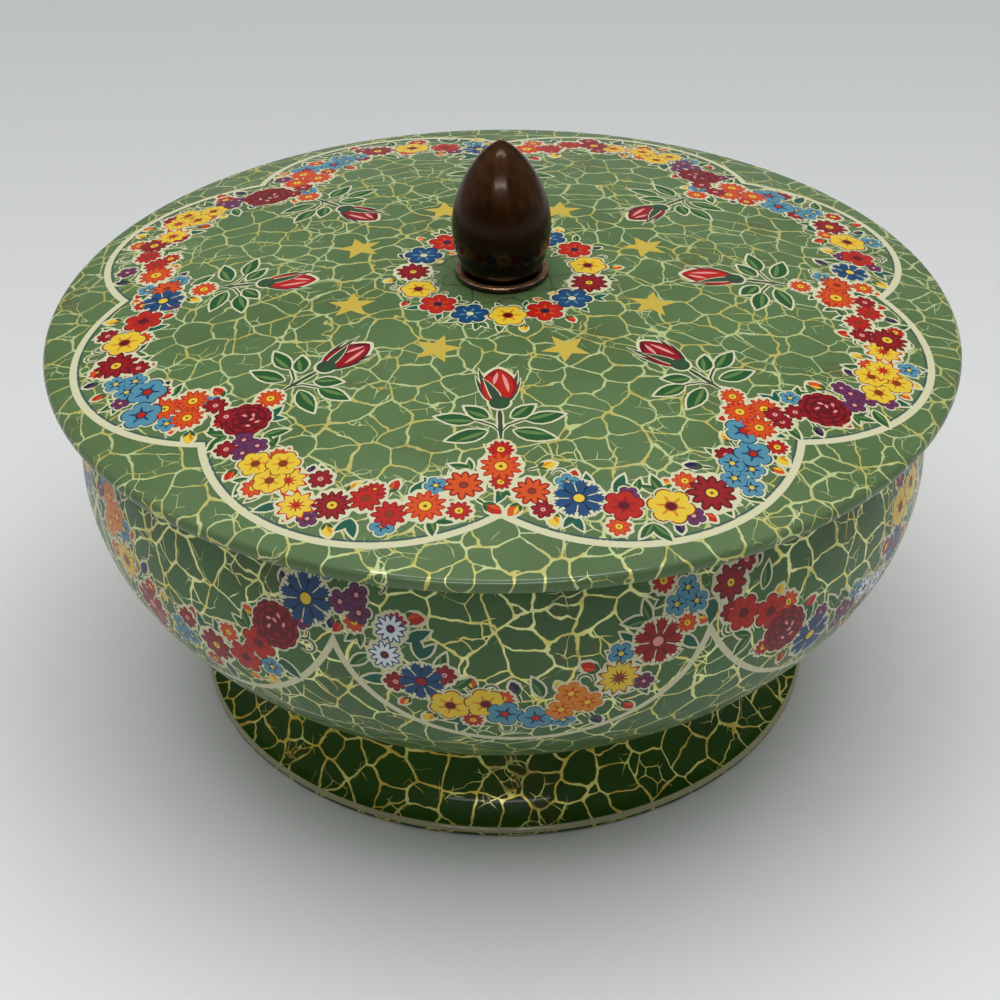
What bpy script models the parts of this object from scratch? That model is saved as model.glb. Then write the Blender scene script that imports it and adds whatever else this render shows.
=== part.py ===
"""A round footed candy tin with a lift-off domed lid and an egg-shaped knob.

The tin stands on z = 0 with its axis on Z. Sheet-metal pieces are drawn as the centre line
of the sheet in the (radius, height) half plane, given their wall, and turned about the axis.
"""

import math

import bmesh
import bpy
from mathutils import Vector

MM = 0.001

# Clearances, stock and how finely round pieces are turned
GAP = 0.3 * MM
TINPLATE = 0.35 * MM
MERGE_SHARE = 0.01
TURN_STEPS = 48
SMALL_TURN_STEPS = 32
SHARP_EDGE_DEG = 35.0

# Bowl: flat base, rounded belly, straight collar and an outward curl round the mouth
BOWL_HEIGHT = 72.9 * MM
BOWL_BASE_RADIUS = 60.0 * MM
BOWL_MOUTH_RADIUS = 92.0 * MM
BOWL_BULGE = 3.8 * MM
BOWL_BELLY_HEIGHT = 47.5 * MM
BOWL_COLLAR_HEIGHT = 4.5 * MM
BOWL_FULLNESS_SHARE = 0.909
MOUTH_CURL_RADIUS = 1.3 * MM

# Foot ring: an inward flange under the bowl, a flared skirt and a hemmed standing edge
FOOT_HEIGHT = 15.4 * MM
FOOT_NECK_STEP = 2.5 * MM
FOOT_FLARE = 10.5 * MM
FOOT_FLANGE_WIDTH = 9.0 * MM
FOOT_CORNER_RADIUS = 1.2 * MM
FOOT_HEM_RADIUS = 1.3 * MM
FOOT_HEM_FLAT = 0.9 * MM
FOOT_HEM_INNER_RADIUS = 1.04 * MM

# Lid: a domed panel curled over the edge of a plain ring whose skirt plugs the mouth
LID_OVERHANG = 9.2 * MM
LID_RISE = 10.0 * MM
LID_CURL_RADIUS = 1.8 * MM
PLUG_CLEARANCE = 0.6 * MM
PLUG_DEPTH = 8.0 * MM
PLUG_CORNER_RADIUS = 1.2 * MM
PLUG_HEM_RADIUS = 0.55 * MM
PLUG_HEM_HEIGHT = 1.6 * MM

# Knob: an egg that stands in a dished saucer on the flat centre of the lid
KNOB_HEIGHT = 30.3 * MM
KNOB_RADIUS = 10.85 * MM
KNOB_BELLY_HEIGHT = 10.6 * MM
KNOB_BASE_INSET = 2.65 * MM
KNOB_UPPER_RISE_SHARE = 1.85
KNOB_UPPER_ROUND_SHARE = 0.714
SAUCER_CLEARANCE = 0.5 * MM
SAUCER_FLOOR = 0.6 * MM
SAUCER_LIP = 0.55 * MM
SAUCER_LIP_WIDTH = 1.7 * MM
SAUCER_LIP_ROUND = 0.5 * MM
KNOB_SEAT_MARGIN = 1.2 * MM

# Fixing: a slotted screw and washer under the lid, and the bush in the knob that they pull on
SCREW_RADIUS = 1.9 * MM
SCREW_REACH = 7.5 * MM
SCREW_TIP_CHAMFER = 0.5 * MM
SCREW_HEAD_LIP = 2.0 * MM
SCREW_HEAD_EDGE = 1.05 * MM
SCREW_HEAD_CROWN = 1.05 * MM
SCREW_SLOT_WIDTH = 1.0 * MM
SCREW_SLOT_DEPTH = 1.0 * MM
INSERT_WALL = 1.3 * MM
INSERT_SPARE_DEPTH = 2.5 * MM
WASHER_MARGIN = 2.1 * MM
WASHER_THICKNESS = 0.8 * MM
CUT_OVERRUN = 1.0 * MM

# Sizes and heights that neighbouring pieces share
BELLY_RADIUS = BOWL_MOUTH_RADIUS + BOWL_BULGE
NECK_RADIUS = BOWL_BASE_RADIUS + FOOT_NECK_STEP
FOOT_RADIUS = NECK_RADIUS + FOOT_FLARE
LID_RADIUS = BOWL_MOUTH_RADIUS + LID_OVERHANG
MOUTH_TOP = FOOT_HEIGHT + BOWL_HEIGHT
LID_WEB_LINE = MOUTH_TOP + GAP + TINPLATE / 2
PLUG_LINE = BOWL_MOUTH_RADIUS - TINPLATE - PLUG_CLEARANCE - TINPLATE / 2
KNOB_BASE_RADIUS = KNOB_RADIUS - KNOB_BASE_INSET
SAUCER_WELL_RADIUS = KNOB_BASE_RADIUS + SAUCER_CLEARANCE
SAUCER_RADIUS = SAUCER_WELL_RADIUS + SAUCER_LIP_WIDTH
KNOB_SEAT_RADIUS = SAUCER_RADIUS + KNOB_SEAT_MARGIN
SCREW_HOLE_RADIUS = SCREW_RADIUS + GAP
SCREW_HEAD_RADIUS = SCREW_RADIUS + SCREW_HEAD_LIP
INSERT_RADIUS = SCREW_HOLE_RADIUS + INSERT_WALL
INSERT_LENGTH = SCREW_REACH + INSERT_SPARE_DEPTH
WASHER_RADIUS = SCREW_HEAD_RADIUS + WASHER_MARGIN
MERGE_DISTANCE = GAP * MERGE_SHARE


def clear_scene():
    """Removes whatever the open file holds."""
    for obj in list(bpy.data.objects):
        bpy.data.objects.remove(obj)


def material(name, colour, roughness, metallic):
    """A Principled finish."""
    made = bpy.data.materials.new(name)
    made.use_nodes = True
    shader = made.node_tree.nodes["Principled BSDF"]
    shader.inputs["Base Color"].default_value = (*colour, 1.0)
    shader.inputs["Roughness"].default_value = roughness
    shader.inputs["Metallic"].default_value = metallic
    made.diffuse_color = (*colour, 1.0)
    return made


def arc(centre, radius, start_deg, end_deg, steps):
    """Points on a circle in the half plane, from one angle to another."""
    points = []
    for step in range(steps + 1):
        angle = math.radians(start_deg + (end_deg - start_deg) * step / steps)
        points.append(
            (centre[0] + radius * math.cos(angle), centre[1] + radius * math.sin(angle))
        )
    return points


def between(start, end, across_share, along_share):
    """The point that lies the given shares of the way, in radius and in height."""
    return (
        start[0] + (end[0] - start[0]) * across_share,
        start[1] + (end[1] - start[1]) * along_share,
    )


def mitred_offset(path, distance):
    """The path moved sideways by distance, to the left of its direction, with mitred corners."""
    moved = []
    for index, point in enumerate(path):
        here = Vector(point)
        before = Vector(path[max(index - 1, 0)])
        after = Vector(path[min(index + 1, len(path) - 1)])
        into = (here - before).normalized() if index else (after - here).normalized()
        out = (after - here).normalized() if index < len(path) - 1 else into
        left_in = Vector((-into.y, into.x))
        left_out = Vector((-out.y, out.x))
        mitre = (left_in + left_out).normalized()
        moved.append(here + mitre * (distance / mitre.dot(left_in)))
    return [(point.x, point.y) for point in moved]


def sheet_outline(path, wall):
    """The closed outline of a sheet whose centre line is the path."""
    return mitred_offset(path, wall / 2) + mitred_offset(path, -wall / 2)[::-1]


def turned(name, outline, steps, finish):
    """An object made by turning a closed outline about Z. Points on the axis become poles."""
    mesh = bpy.data.meshes.new(name)
    shape = bmesh.new()
    corners = [shape.verts.new((radius, 0.0, height)) for radius, height in outline]
    for index, corner in enumerate(corners):
        following = corners[(index + 1) % len(corners)]
        if corner.co.x > MERGE_DISTANCE or following.co.x > MERGE_DISTANCE:
            shape.edges.new((corner, following))
    bmesh.ops.spin(
        shape,
        geom=shape.verts[:] + shape.edges[:],
        cent=(0.0, 0.0, 0.0),
        axis=(0.0, 0.0, 1.0),
        angle=math.tau,
        steps=steps,
        use_merge=True,
    )
    bmesh.ops.remove_doubles(shape, verts=shape.verts[:], dist=MERGE_DISTANCE)
    bmesh.ops.recalc_face_normals(shape, faces=shape.faces[:])
    shape.to_mesh(mesh)
    shape.free()
    mesh.shade_smooth()
    mesh.set_sharp_from_angle(angle=math.radians(SHARP_EDGE_DEG))
    mesh.materials.append(finish)
    obj = bpy.data.objects.new(name, mesh)
    bpy.context.scene.collection.objects.link(obj)
    return obj


def make_foot_ring(finish):
    """The pedestal: a flange under the bowl, a flared skirt and a hem turned in at the floor."""
    flange_line = FOOT_HEIGHT - GAP - TINPLATE / 2
    corner_centre = (NECK_RADIUS - FOOT_CORNER_RADIUS, flange_line - FOOT_CORNER_RADIUS)
    path = [(NECK_RADIUS - FOOT_FLANGE_WIDTH, flange_line)]
    path += arc(corner_centre, FOOT_CORNER_RADIUS, 90.0, 35.0, 2)

    # The skirt sweeps out in a shallow S from the neck to the top of the hem
    hem_line = FOOT_HEM_RADIUS - TINPLATE / 2
    hem_centre = (FOOT_RADIUS - FOOT_HEM_RADIUS, FOOT_HEM_RADIUS)
    skirt_top = path[-1]
    skirt_end = (hem_centre[0], hem_centre[1] + hem_line)
    skirt_shares = [
        (0.12, 0.23),
        (0.27, 0.47),
        (0.45, 0.69),
        (0.66, 0.86),
        (0.86, 0.965),
    ]
    for out_share, down_share in skirt_shares:
        path.append(between(skirt_top, skirt_end, out_share, down_share))

    # The hem rolls under, stands on a flat and turns up inside
    path += arc(hem_centre, hem_line, 82.0, -90.0, 5)
    inner_centre = (hem_centre[0] - FOOT_HEM_FLAT, FOOT_HEM_INNER_RADIUS)
    path.append((inner_centre[0], TINPLATE / 2))
    path += arc(inner_centre, FOOT_HEM_INNER_RADIUS - TINPLATE / 2, -115.0, -190.0, 2)
    return turned("foot_ring", sheet_outline(path, TINPLATE), TURN_STEPS, finish)


def make_bowl(finish):
    """The drawn bowl, from the pole of its base to the curl round its mouth."""
    base_edge = (BOWL_BASE_RADIUS, FOOT_HEIGHT + TINPLATE / 2)
    belly = (BELLY_RADIUS - TINPLATE / 2, FOOT_HEIGHT + BOWL_BELLY_HEIGHT)
    collar = (BOWL_MOUTH_RADIUS - TINPLATE / 2, MOUTH_TOP - BOWL_COLLAR_HEIGHT)
    path = [(0.0, base_edge[1]), base_edge]

    lower_shares = [0.035, 0.09, 0.17, 0.27, 0.39, 0.52, 0.66, 0.82, 1.0]
    for share in lower_shares:
        fullness = (1.0 - (1.0 - share) ** 2) ** BOWL_FULLNESS_SHARE
        path.append(between(base_edge, belly, fullness, share))

    upper_steps = 4
    for step in range(1, upper_steps + 1):
        share = step / upper_steps
        path.append(between(belly, collar, share**2, share))

    curl_line = MOUTH_CURL_RADIUS - TINPLATE / 2
    curl_centre = (collar[0] + curl_line, MOUTH_TOP - MOUTH_CURL_RADIUS)
    path += arc(curl_centre, curl_line, 180.0, -105.0, 7)
    return turned("bowl", sheet_outline(path, TINPLATE), TURN_STEPS, finish)


def make_lid_panel(finish):
    """The decorated top of the lid: a flat knob seat, the dome and the curl at its edge."""
    curl_line = LID_CURL_RADIUS - TINPLATE / 2
    curl_centre = (LID_RADIUS - LID_CURL_RADIUS, LID_WEB_LINE)
    edge_slope = 2.0 * LID_RISE / (curl_centre[0] - KNOB_SEAT_RADIUS)
    curl_start = 90.0 - math.degrees(math.atan(edge_slope))
    curl = arc(curl_centre, curl_line, curl_start, -150.0, 8)
    shoulder = curl[0]
    seat_edge = (KNOB_SEAT_RADIUS, shoulder[1] + LID_RISE)

    path = [(SCREW_HOLE_RADIUS, seat_edge[1]), seat_edge]
    dome_steps = 8
    for step in range(1, dome_steps):
        share = step / dome_steps
        path.append(between(seat_edge, shoulder, share, share**2))
    path += curl
    panel = turned("lid_panel", sheet_outline(path, TINPLATE), TURN_STEPS, finish)
    return panel, seat_edge[1]


def make_lid_ring(finish):
    """The plain ring whose edge the panel's curl grips, and whose hemmed skirt plugs the mouth."""
    edge = LID_RADIUS - TINPLATE - GAP
    corner_centre = (PLUG_LINE + PLUG_CORNER_RADIUS, LID_WEB_LINE - PLUG_CORNER_RADIUS)
    hem_centre = (PLUG_LINE - PLUG_HEM_RADIUS, LID_WEB_LINE - PLUG_DEPTH + PLUG_HEM_RADIUS)
    path = [(edge, LID_WEB_LINE)]
    path += arc(corner_centre, PLUG_CORNER_RADIUS, 90.0, 180.0, 3)
    path += arc(hem_centre, PLUG_HEM_RADIUS, 0.0, -180.0, 4)
    path.append((path[-1][0], hem_centre[1] + PLUG_HEM_HEIGHT))
    return turned("lid_ring", sheet_outline(path, TINPLATE), TURN_STEPS, finish)


def make_saucer(seat_top, finish):
    """The dished washer that the knob stands in, with a rounded lip round its well."""
    bottom = seat_top + GAP
    floor = bottom + SAUCER_FLOOR
    outer_x = SAUCER_RADIUS - SAUCER_LIP_ROUND
    inner_x = SAUCER_WELL_RADIUS + SAUCER_LIP_ROUND
    round_top_z = floor + SAUCER_LIP - SAUCER_LIP_ROUND
    outline = [(SCREW_HOLE_RADIUS, bottom)]
    outline += arc((outer_x, bottom + SAUCER_LIP_ROUND), SAUCER_LIP_ROUND, -90.0, 0.0, 2)
    outline += arc((outer_x, round_top_z), SAUCER_LIP_ROUND, 0.0, 90.0, 2)
    outline += arc((inner_x, round_top_z), SAUCER_LIP_ROUND, 90.0, 180.0, 2)
    outline += [(SAUCER_WELL_RADIUS, floor), (SCREW_HOLE_RADIUS, floor)]
    saucer = turned("knob_saucer", outline, SMALL_TURN_STEPS, finish)
    return saucer, floor


def make_knob(saucer_floor, finish):
    """The egg-shaped grip, with a blind socket in its base for the insert."""
    bottom = saucer_floor + GAP
    base_edge = (KNOB_BASE_RADIUS, bottom)
    belly = (KNOB_RADIUS, bottom + KNOB_BELLY_HEIGHT)
    tip = (0.0, bottom + KNOB_HEIGHT)
    socket_radius = INSERT_RADIUS + GAP
    socket_top = bottom + INSERT_LENGTH + GAP
    outline = [(0.0, socket_top), (socket_radius, socket_top), (socket_radius, bottom)]

    lower_shares = [0.0, 0.07, 0.2, 0.38, 0.62, 1.0]
    for share in lower_shares:
        outline.append(between(base_edge, belly, 1.0 - (1.0 - share) ** 2, share))

    upper_shares = [0.16, 0.32, 0.46, 0.59, 0.7, 0.8, 0.88, 0.94, 0.98]
    for share in upper_shares:
        narrowing = (1.0 - share**KNOB_UPPER_RISE_SHARE) ** KNOB_UPPER_ROUND_SHARE
        outline.append(between(belly, tip, 1.0 - narrowing, share))
    outline.append(tip)
    knob = turned("knob", outline, SMALL_TURN_STEPS, finish)
    return knob, bottom


def tube_outline(inner, outer, bottom, top):
    """The outline of a plain ring or tube."""
    return [(inner, bottom), (outer, bottom), (outer, top), (inner, top)]


def make_insert(knob_bottom, finish):
    """The brass bush moulded into the knob, which the screw turns into."""
    top = knob_bottom + INSERT_LENGTH
    outline = tube_outline(SCREW_HOLE_RADIUS, INSERT_RADIUS, knob_bottom, top)
    return turned("knob_insert", outline, SMALL_TURN_STEPS, finish)


def make_washer(seat_under, finish):
    """The flat washer that spreads the screw's pull under the lid."""
    top = seat_under - GAP
    bottom = top - WASHER_THICKNESS
    outline = tube_outline(SCREW_HOLE_RADIUS, WASHER_RADIUS, bottom, top)
    washer = turned("screw_washer", outline, SMALL_TURN_STEPS, finish)
    return washer, bottom


def make_slot_cutter(head_under):
    """The bar that cuts the driver slot into the screw's head."""
    mesh = bpy.data.meshes.new("screw_slot_cutter")
    shape = bmesh.new()
    bmesh.ops.create_cube(shape, size=1.0)
    bar_size = (
        2 * (SCREW_HEAD_RADIUS + CUT_OVERRUN),
        SCREW_SLOT_WIDTH,
        SCREW_SLOT_DEPTH + CUT_OVERRUN,
    )
    bmesh.ops.scale(shape, vec=bar_size, verts=shape.verts[:])
    shape.to_mesh(mesh)
    shape.free()
    cutter = bpy.data.objects.new("screw_slot_cutter", mesh)
    bpy.context.scene.collection.objects.link(cutter)
    cutter.location.z = head_under + (SCREW_SLOT_DEPTH - CUT_OVERRUN) / 2
    cutter.hide_render = True
    cutter.display_type = "WIRE"
    return cutter


def make_screw(washer_under, knob_bottom, finish):
    """The slotted screw that comes up through the lid into the insert."""
    head_top = washer_under - GAP
    head_edge = (SCREW_HEAD_RADIUS, head_top - SCREW_HEAD_EDGE)
    head_pole = (0.0, head_edge[1] - SCREW_HEAD_CROWN)
    tip = knob_bottom + SCREW_REACH
    outline = [head_pole]
    crown_shares = [(0.55, 0.12), (0.85, 0.45), (1.0, 1.0)]
    for out_share, up_share in crown_shares:
        outline.append(between(head_pole, head_edge, out_share, up_share))
    outline += [
        (SCREW_HEAD_RADIUS, head_top),
        (SCREW_RADIUS, head_top),
        (SCREW_RADIUS, tip - SCREW_TIP_CHAMFER),
        (SCREW_RADIUS - SCREW_TIP_CHAMFER, tip),
        (0.0, tip),
    ]
    screw = turned("knob_screw", outline, SMALL_TURN_STEPS, finish)
    slot = screw.modifiers.new("slot", "BOOLEAN")
    slot.operation = "DIFFERENCE"
    slot.object = make_slot_cutter(head_pole[1])
    return screw


def main():
    """Builds every piece of the tin."""
    clear_scene()
    litho_green = material("litho_green", (0.10, 0.22, 0.11), 0.22, 0.1)
    litho_dark_green = material("litho_dark_green", (0.03, 0.10, 0.05), 0.2, 0.1)
    plain_tin = material("plain_tin", (0.72, 0.68, 0.55), 0.35, 0.9)
    dark_brown = material("dark_brown", (0.045, 0.018, 0.010), 0.15, 0.0)
    bronze_brown = material("bronze_brown", (0.16, 0.085, 0.05), 0.25, 0.6)
    brass = material("brass", (0.78, 0.58, 0.27), 0.3, 1.0)
    steel = material("steel", (0.62, 0.62, 0.60), 0.3, 1.0)

    make_foot_ring(litho_dark_green)
    make_bowl(litho_green)
    panel, seat_line = make_lid_panel(litho_green)
    ring = make_lid_ring(plain_tin)
    saucer, saucer_floor = make_saucer(seat_line + TINPLATE / 2, bronze_brown)
    knob, knob_bottom = make_knob(saucer_floor, dark_brown)
    insert = make_insert(knob_bottom, brass)
    washer, washer_under = make_washer(seat_line - TINPLATE / 2, steel)
    screw = make_screw(washer_under, knob_bottom, steel)

    # The lid comes off as one, so its pieces hang from one empty on the tin's axis
    lid = bpy.data.objects.new("lid", None)
    bpy.context.scene.collection.objects.link(lid)
    for piece in (panel, ring, saucer, knob, insert, washer, screw):
        piece.parent = lid


main()
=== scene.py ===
"""Dresses the candy tin: printed tinplate skins, a turned knob and a pale studio.

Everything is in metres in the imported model's frame: the tin stands on z = 0, its axis is
+Z and the photographed side faces -Y. Drawings are in millimetres until they become a mesh.
One geometry-nodes tree turns every sheet-metal skin, a second one lays the printed motifs
out in rows on flat paper. The press then joins what lies on the paper into one layer and
wraps it over the lid or round the bowl.
"""

import logging
import math
from bisect import bisect_left
from collections.abc import Callable, Sequence
from dataclasses import dataclass, field
from enum import Enum, IntEnum
from functools import reduce
from typing import ClassVar

import bpy
from mathutils import Matrix, Vector
from mathutils.geometry import delaunay_2d_cdt


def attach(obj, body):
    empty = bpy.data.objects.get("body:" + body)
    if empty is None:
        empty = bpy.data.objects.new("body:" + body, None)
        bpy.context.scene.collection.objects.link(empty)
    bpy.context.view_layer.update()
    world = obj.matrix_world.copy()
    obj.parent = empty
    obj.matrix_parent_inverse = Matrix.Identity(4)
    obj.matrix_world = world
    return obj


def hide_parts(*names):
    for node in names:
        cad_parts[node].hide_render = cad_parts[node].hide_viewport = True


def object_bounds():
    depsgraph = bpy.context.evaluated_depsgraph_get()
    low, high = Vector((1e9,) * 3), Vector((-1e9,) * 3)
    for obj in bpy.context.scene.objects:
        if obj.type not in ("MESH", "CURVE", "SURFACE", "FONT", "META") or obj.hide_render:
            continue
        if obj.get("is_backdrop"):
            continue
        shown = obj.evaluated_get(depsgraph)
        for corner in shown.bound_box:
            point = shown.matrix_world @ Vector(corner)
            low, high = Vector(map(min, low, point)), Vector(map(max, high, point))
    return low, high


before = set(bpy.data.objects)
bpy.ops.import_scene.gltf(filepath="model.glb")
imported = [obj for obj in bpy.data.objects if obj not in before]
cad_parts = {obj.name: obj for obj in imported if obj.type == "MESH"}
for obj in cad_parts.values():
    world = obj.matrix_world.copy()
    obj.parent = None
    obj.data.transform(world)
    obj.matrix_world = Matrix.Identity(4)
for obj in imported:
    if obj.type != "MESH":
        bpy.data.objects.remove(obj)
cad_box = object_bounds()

Point = tuple[float, float]
Colour = tuple[float, float, float]
Outline = list[Point]
Node = bpy.types.Node
Socket = bpy.types.NodeSocket

MM = 0.001
ORIGIN = (0.0, 0.0)

# The thickness of every sheet, the gap between seated parts, and the width of the cream
# edge round each leaf and bloom, in millimetres.
TINPLATE = 0.35
SEAT_GAP = 0.3
HALO = 0.42

log = logging.getLogger("candy_tin")


class Body(Enum):
    """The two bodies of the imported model."""

    BOWL = "bowl"
    LID = "lid"


class Layer(IntEnum):
    """What lies over what in the print, from the bottom up."""

    LINE = 0
    LEAF_HALO = 1
    LEAF = 2
    BLOOM_HALO = 3
    BLOOM = 4


def linear(red: int, green: int, blue: int) -> Colour:
    """The linear colour that shaders take, for a screen colour of 0 to 255 in each channel."""
    shares = (red / 255, green / 255, blue / 255)
    return tuple(s / 12.92 if s <= 0.04045 else ((s + 0.055) / 1.055) ** 2.4 for s in shares)


def shown(name: str, data: bpy.types.ID) -> bpy.types.Object:
    """Makes an object and puts it in the scene.

    Args:
        name: Its name.
        data: Its mesh, lamp or camera.

    Returns:
        The object.
    """
    made = bpy.data.objects.new(name, data)
    bpy.context.scene.collection.objects.link(made)
    return made


# ---------------------------------------------------------------- node benches


@dataclass
class NodeBench:
    """A node tree that is being wired, with short calls for what its wiring repeats."""

    tree: bpy.types.NodeTree

    # The inputs of a Mix node that take the share and the two colours.
    MIX_INPUTS: ClassVar = (0, 6, 7)

    def feed(self, socket: Socket, value: object) -> None:
        """Links an output to an input, or sets the input to a plain value.

        Args:
            socket: The input.
            value: An output socket or a value.
        """
        if isinstance(value, Socket):
            self.tree.links.new(value, socket)
        else:
            socket.default_value = value

    def put(
        self, kind: str, inputs: dict[int | str, object] | None = None, **settings: object
    ) -> Node:
        """Adds a node.

        Args:
            kind: Its type name.
            inputs: What each input takes, by its name or number.
            **settings: Properties to set on it.

        Returns:
            The new node.
        """
        node = self.tree.nodes.new(kind)
        for name, value in settings.items():
            setattr(node, name, value)
        for key, value in (inputs or {}).items():
            self.feed(node.inputs[key], value)
        return node

    def math(self, operation: str, *values: object) -> Socket:
        """The result of an operation on numbers or sockets."""
        return self.put("ShaderNodeMath", dict(enumerate(values)), operation=operation).outputs[0]

    def times(self, *values: object) -> Socket:
        """The product of numbers or sockets."""
        return reduce(lambda product, value: self.math("MULTIPLY", product, value), values)

    def vector(self, operation: str, *values: object) -> Socket:
        """The result of an operation on vectors: a number for a length or a dot product."""
        node = self.put("ShaderNodeVectorMath", dict(enumerate(values)), operation=operation)
        return node.outputs["Value" if operation in ("LENGTH", "DOT_PRODUCT") else "Vector"]

    def scaled(self, vector: Socket, factor: float) -> Socket:
        """A vector times a number."""
        inputs = {0: vector, "Scale": factor}
        return self.put("ShaderNodeVectorMath", inputs, operation="SCALE").outputs["Vector"]

    def split(self, vector: Socket) -> Sequence[Socket]:
        """The three parts of a vector."""
        return self.put("ShaderNodeSeparateXYZ", {0: vector}).outputs

    def join(self, x: object = 0.0, y: object = 0.0, z: object = 0.0) -> Socket:
        """A vector from its three parts."""
        return self.put("ShaderNodeCombineXYZ", {0: x, 1: y, 2: z}).outputs[0]

    def ramp(
        self, value: Socket, low: object, high: object, start: float = 0.0, end: float = 1.0
    ) -> Socket:
        """Maps the values from low to high smoothly to start to end, clamped at both ends."""
        inputs = dict(enumerate((value, low, high, start, end)))
        return self.put("ShaderNodeMapRange", inputs, interpolation_type="SMOOTHSTEP").outputs[0]

    def blend(self, share: object, under: object, over: object) -> Socket:
        """Mixes two colours.

        Args:
            share: How much of the second colour, a socket or a number.
            under: The first colour.
            over: The second colour.

        Returns:
            The mixed colour.
        """
        colours = ((*item, 1.0) if isinstance(item, tuple) else item for item in (under, over))
        inputs = dict(zip(self.MIX_INPUTS, (share, *colours)))
        return self.put("ShaderNodeMix", inputs, data_type="RGBA").outputs[2]

    def noise(self, where: Socket, grain: float, detail: float = 2.0) -> Socket:
        """A noise pattern from 0 to 1, in blotches of a grain in metres, with some octaves."""
        inputs = {"Vector": where, "Scale": 1.0 / grain, "Detail": detail}
        return self.put("ShaderNodeTexNoise", inputs).outputs[0]

    def shifted(self, where: Socket, reach: float, grain: float) -> Socket:
        """Pushes coordinates about with noise, so that lines on them waver.

        Args:
            where: The coordinates.
            reach: How far they move at most, in metres.
            grain: The size of the wavering, in metres.

        Returns:
            The moved coordinates.
        """
        cloud = self.noise(where, grain).node.outputs["Color"]
        push = self.vector("SUBTRACT", cloud, (0.5,) * 3)
        return self.vector("ADD", where, self.scaled(push, 2.0 * reach))

    def bump(self, height: Socket, distance: float, strength: float) -> Socket:
        """The normal that a height of 0 to 1 gives, where 1 measures the distance in metres."""
        inputs = {"Distance": distance, "Strength": strength, "Height": height}
        return self.put("ShaderNodeBump", inputs).outputs[0]


@dataclass
class FinishBench(NodeBench):
    """The tree of a material that is being wired.

    Attributes:
        shader: Its Principled shader.
        where: Object coordinates.
    """

    shader: Node = field(init=False)
    where: Socket = field(init=False)

    def __post_init__(self) -> None:
        """Finds the shader and adds the coordinates."""
        self.shader = self.tree.nodes["Principled BSDF"]
        self.where = self.put("ShaderNodeTexCoord").outputs["Object"]

    def show(self, inputs: dict[str, object]) -> None:
        """Feeds the shader's inputs, by their names."""
        for name, value in inputs.items():
            self.feed(self.shader.inputs[name], value)


# -------------------------------------------------------------------- finishes


@dataclass(frozen=True)
class Finish:
    """A finish: its plain values, and the nodes that break them up.

    Attributes:
        name: The material's name.
        colour: Its main colour.
        rough: Its roughness.
        metal: How metallic it is.
        varnish: The weight of its clear coat.
        varnish_rough: The roughness of the clear coat.
        sheen: The strength of the mirror-like part under the coat; 0.5 is plain paint.
        gloss: The tint of that part.
    """

    name: str
    colour: Colour
    rough: float
    metal: float = 0.0
    varnish: float = 0.0
    varnish_rough: float = 0.05
    sheen: float = 0.5
    gloss: Colour = (1.0, 1.0, 1.0)

    def material(self) -> bpy.types.Material:
        """Makes the material, the first time that it is asked for.

        Returns:
            The material.
        """
        known = bpy.data.materials.get(self.name)
        if known:
            return known
        made = bpy.data.materials.new(self.name)
        made.use_nodes = True
        made.diffuse_color = (*self.colour, 1.0)
        bench = FinishBench(made.node_tree)
        bench.show(
            {
                "Base Color": (*self.colour, 1.0),
                "Metallic": self.metal,
                "Roughness": self.rough,
                "Coat Weight": self.varnish,
                "Coat Roughness": self.varnish_rough,
                "Specular IOR Level": self.sheen,
                "Specular Tint": (*self.gloss, 1.0),
            }
        )
        self.wire(bench)
        return made

    def wire(self, bench: FinishBench) -> None:
        """Wires what varies over the surface."""
        raise NotImplementedError

    def uneven(self, bench: FinishBench, pattern: Socket, least: float, most: float) -> Socket:
        """The roughness, varied by a pattern from one share of itself to another."""
        return bench.ramp(pattern, 0.3, 0.7, self.rough * least, self.rough * most)

    def wavy(self, bench: FinishBench) -> None:
        """Gives pressed sheet its slight waviness, and its roughness a mild blotching.

        Args:
            bench: The material's tree.
        """
        normal = bench.bump(bench.noise(bench.where, 0.035, 1.0), 0.0006, 0.5)
        blotch = bench.noise(bench.where, 0.012, 3.0)
        rough = bench.ramp(blotch, 0.25, 0.75, self.rough * 0.8, self.rough * 1.25)
        bench.show({"Normal": normal, "Coat Normal": normal, "Roughness": rough})


@dataclass(frozen=True)
class PrintedInk(Finish):
    """One flat printing ink under the varnish, on the sheet's slight waves."""

    rough: float = 0.38
    varnish: float = 0.25
    sheen: float = 0.14

    def wire(self, bench: FinishBench) -> None:
        """Wires the sheet's waviness and the ink's uneven gloss."""
        self.wavy(bench)


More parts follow.
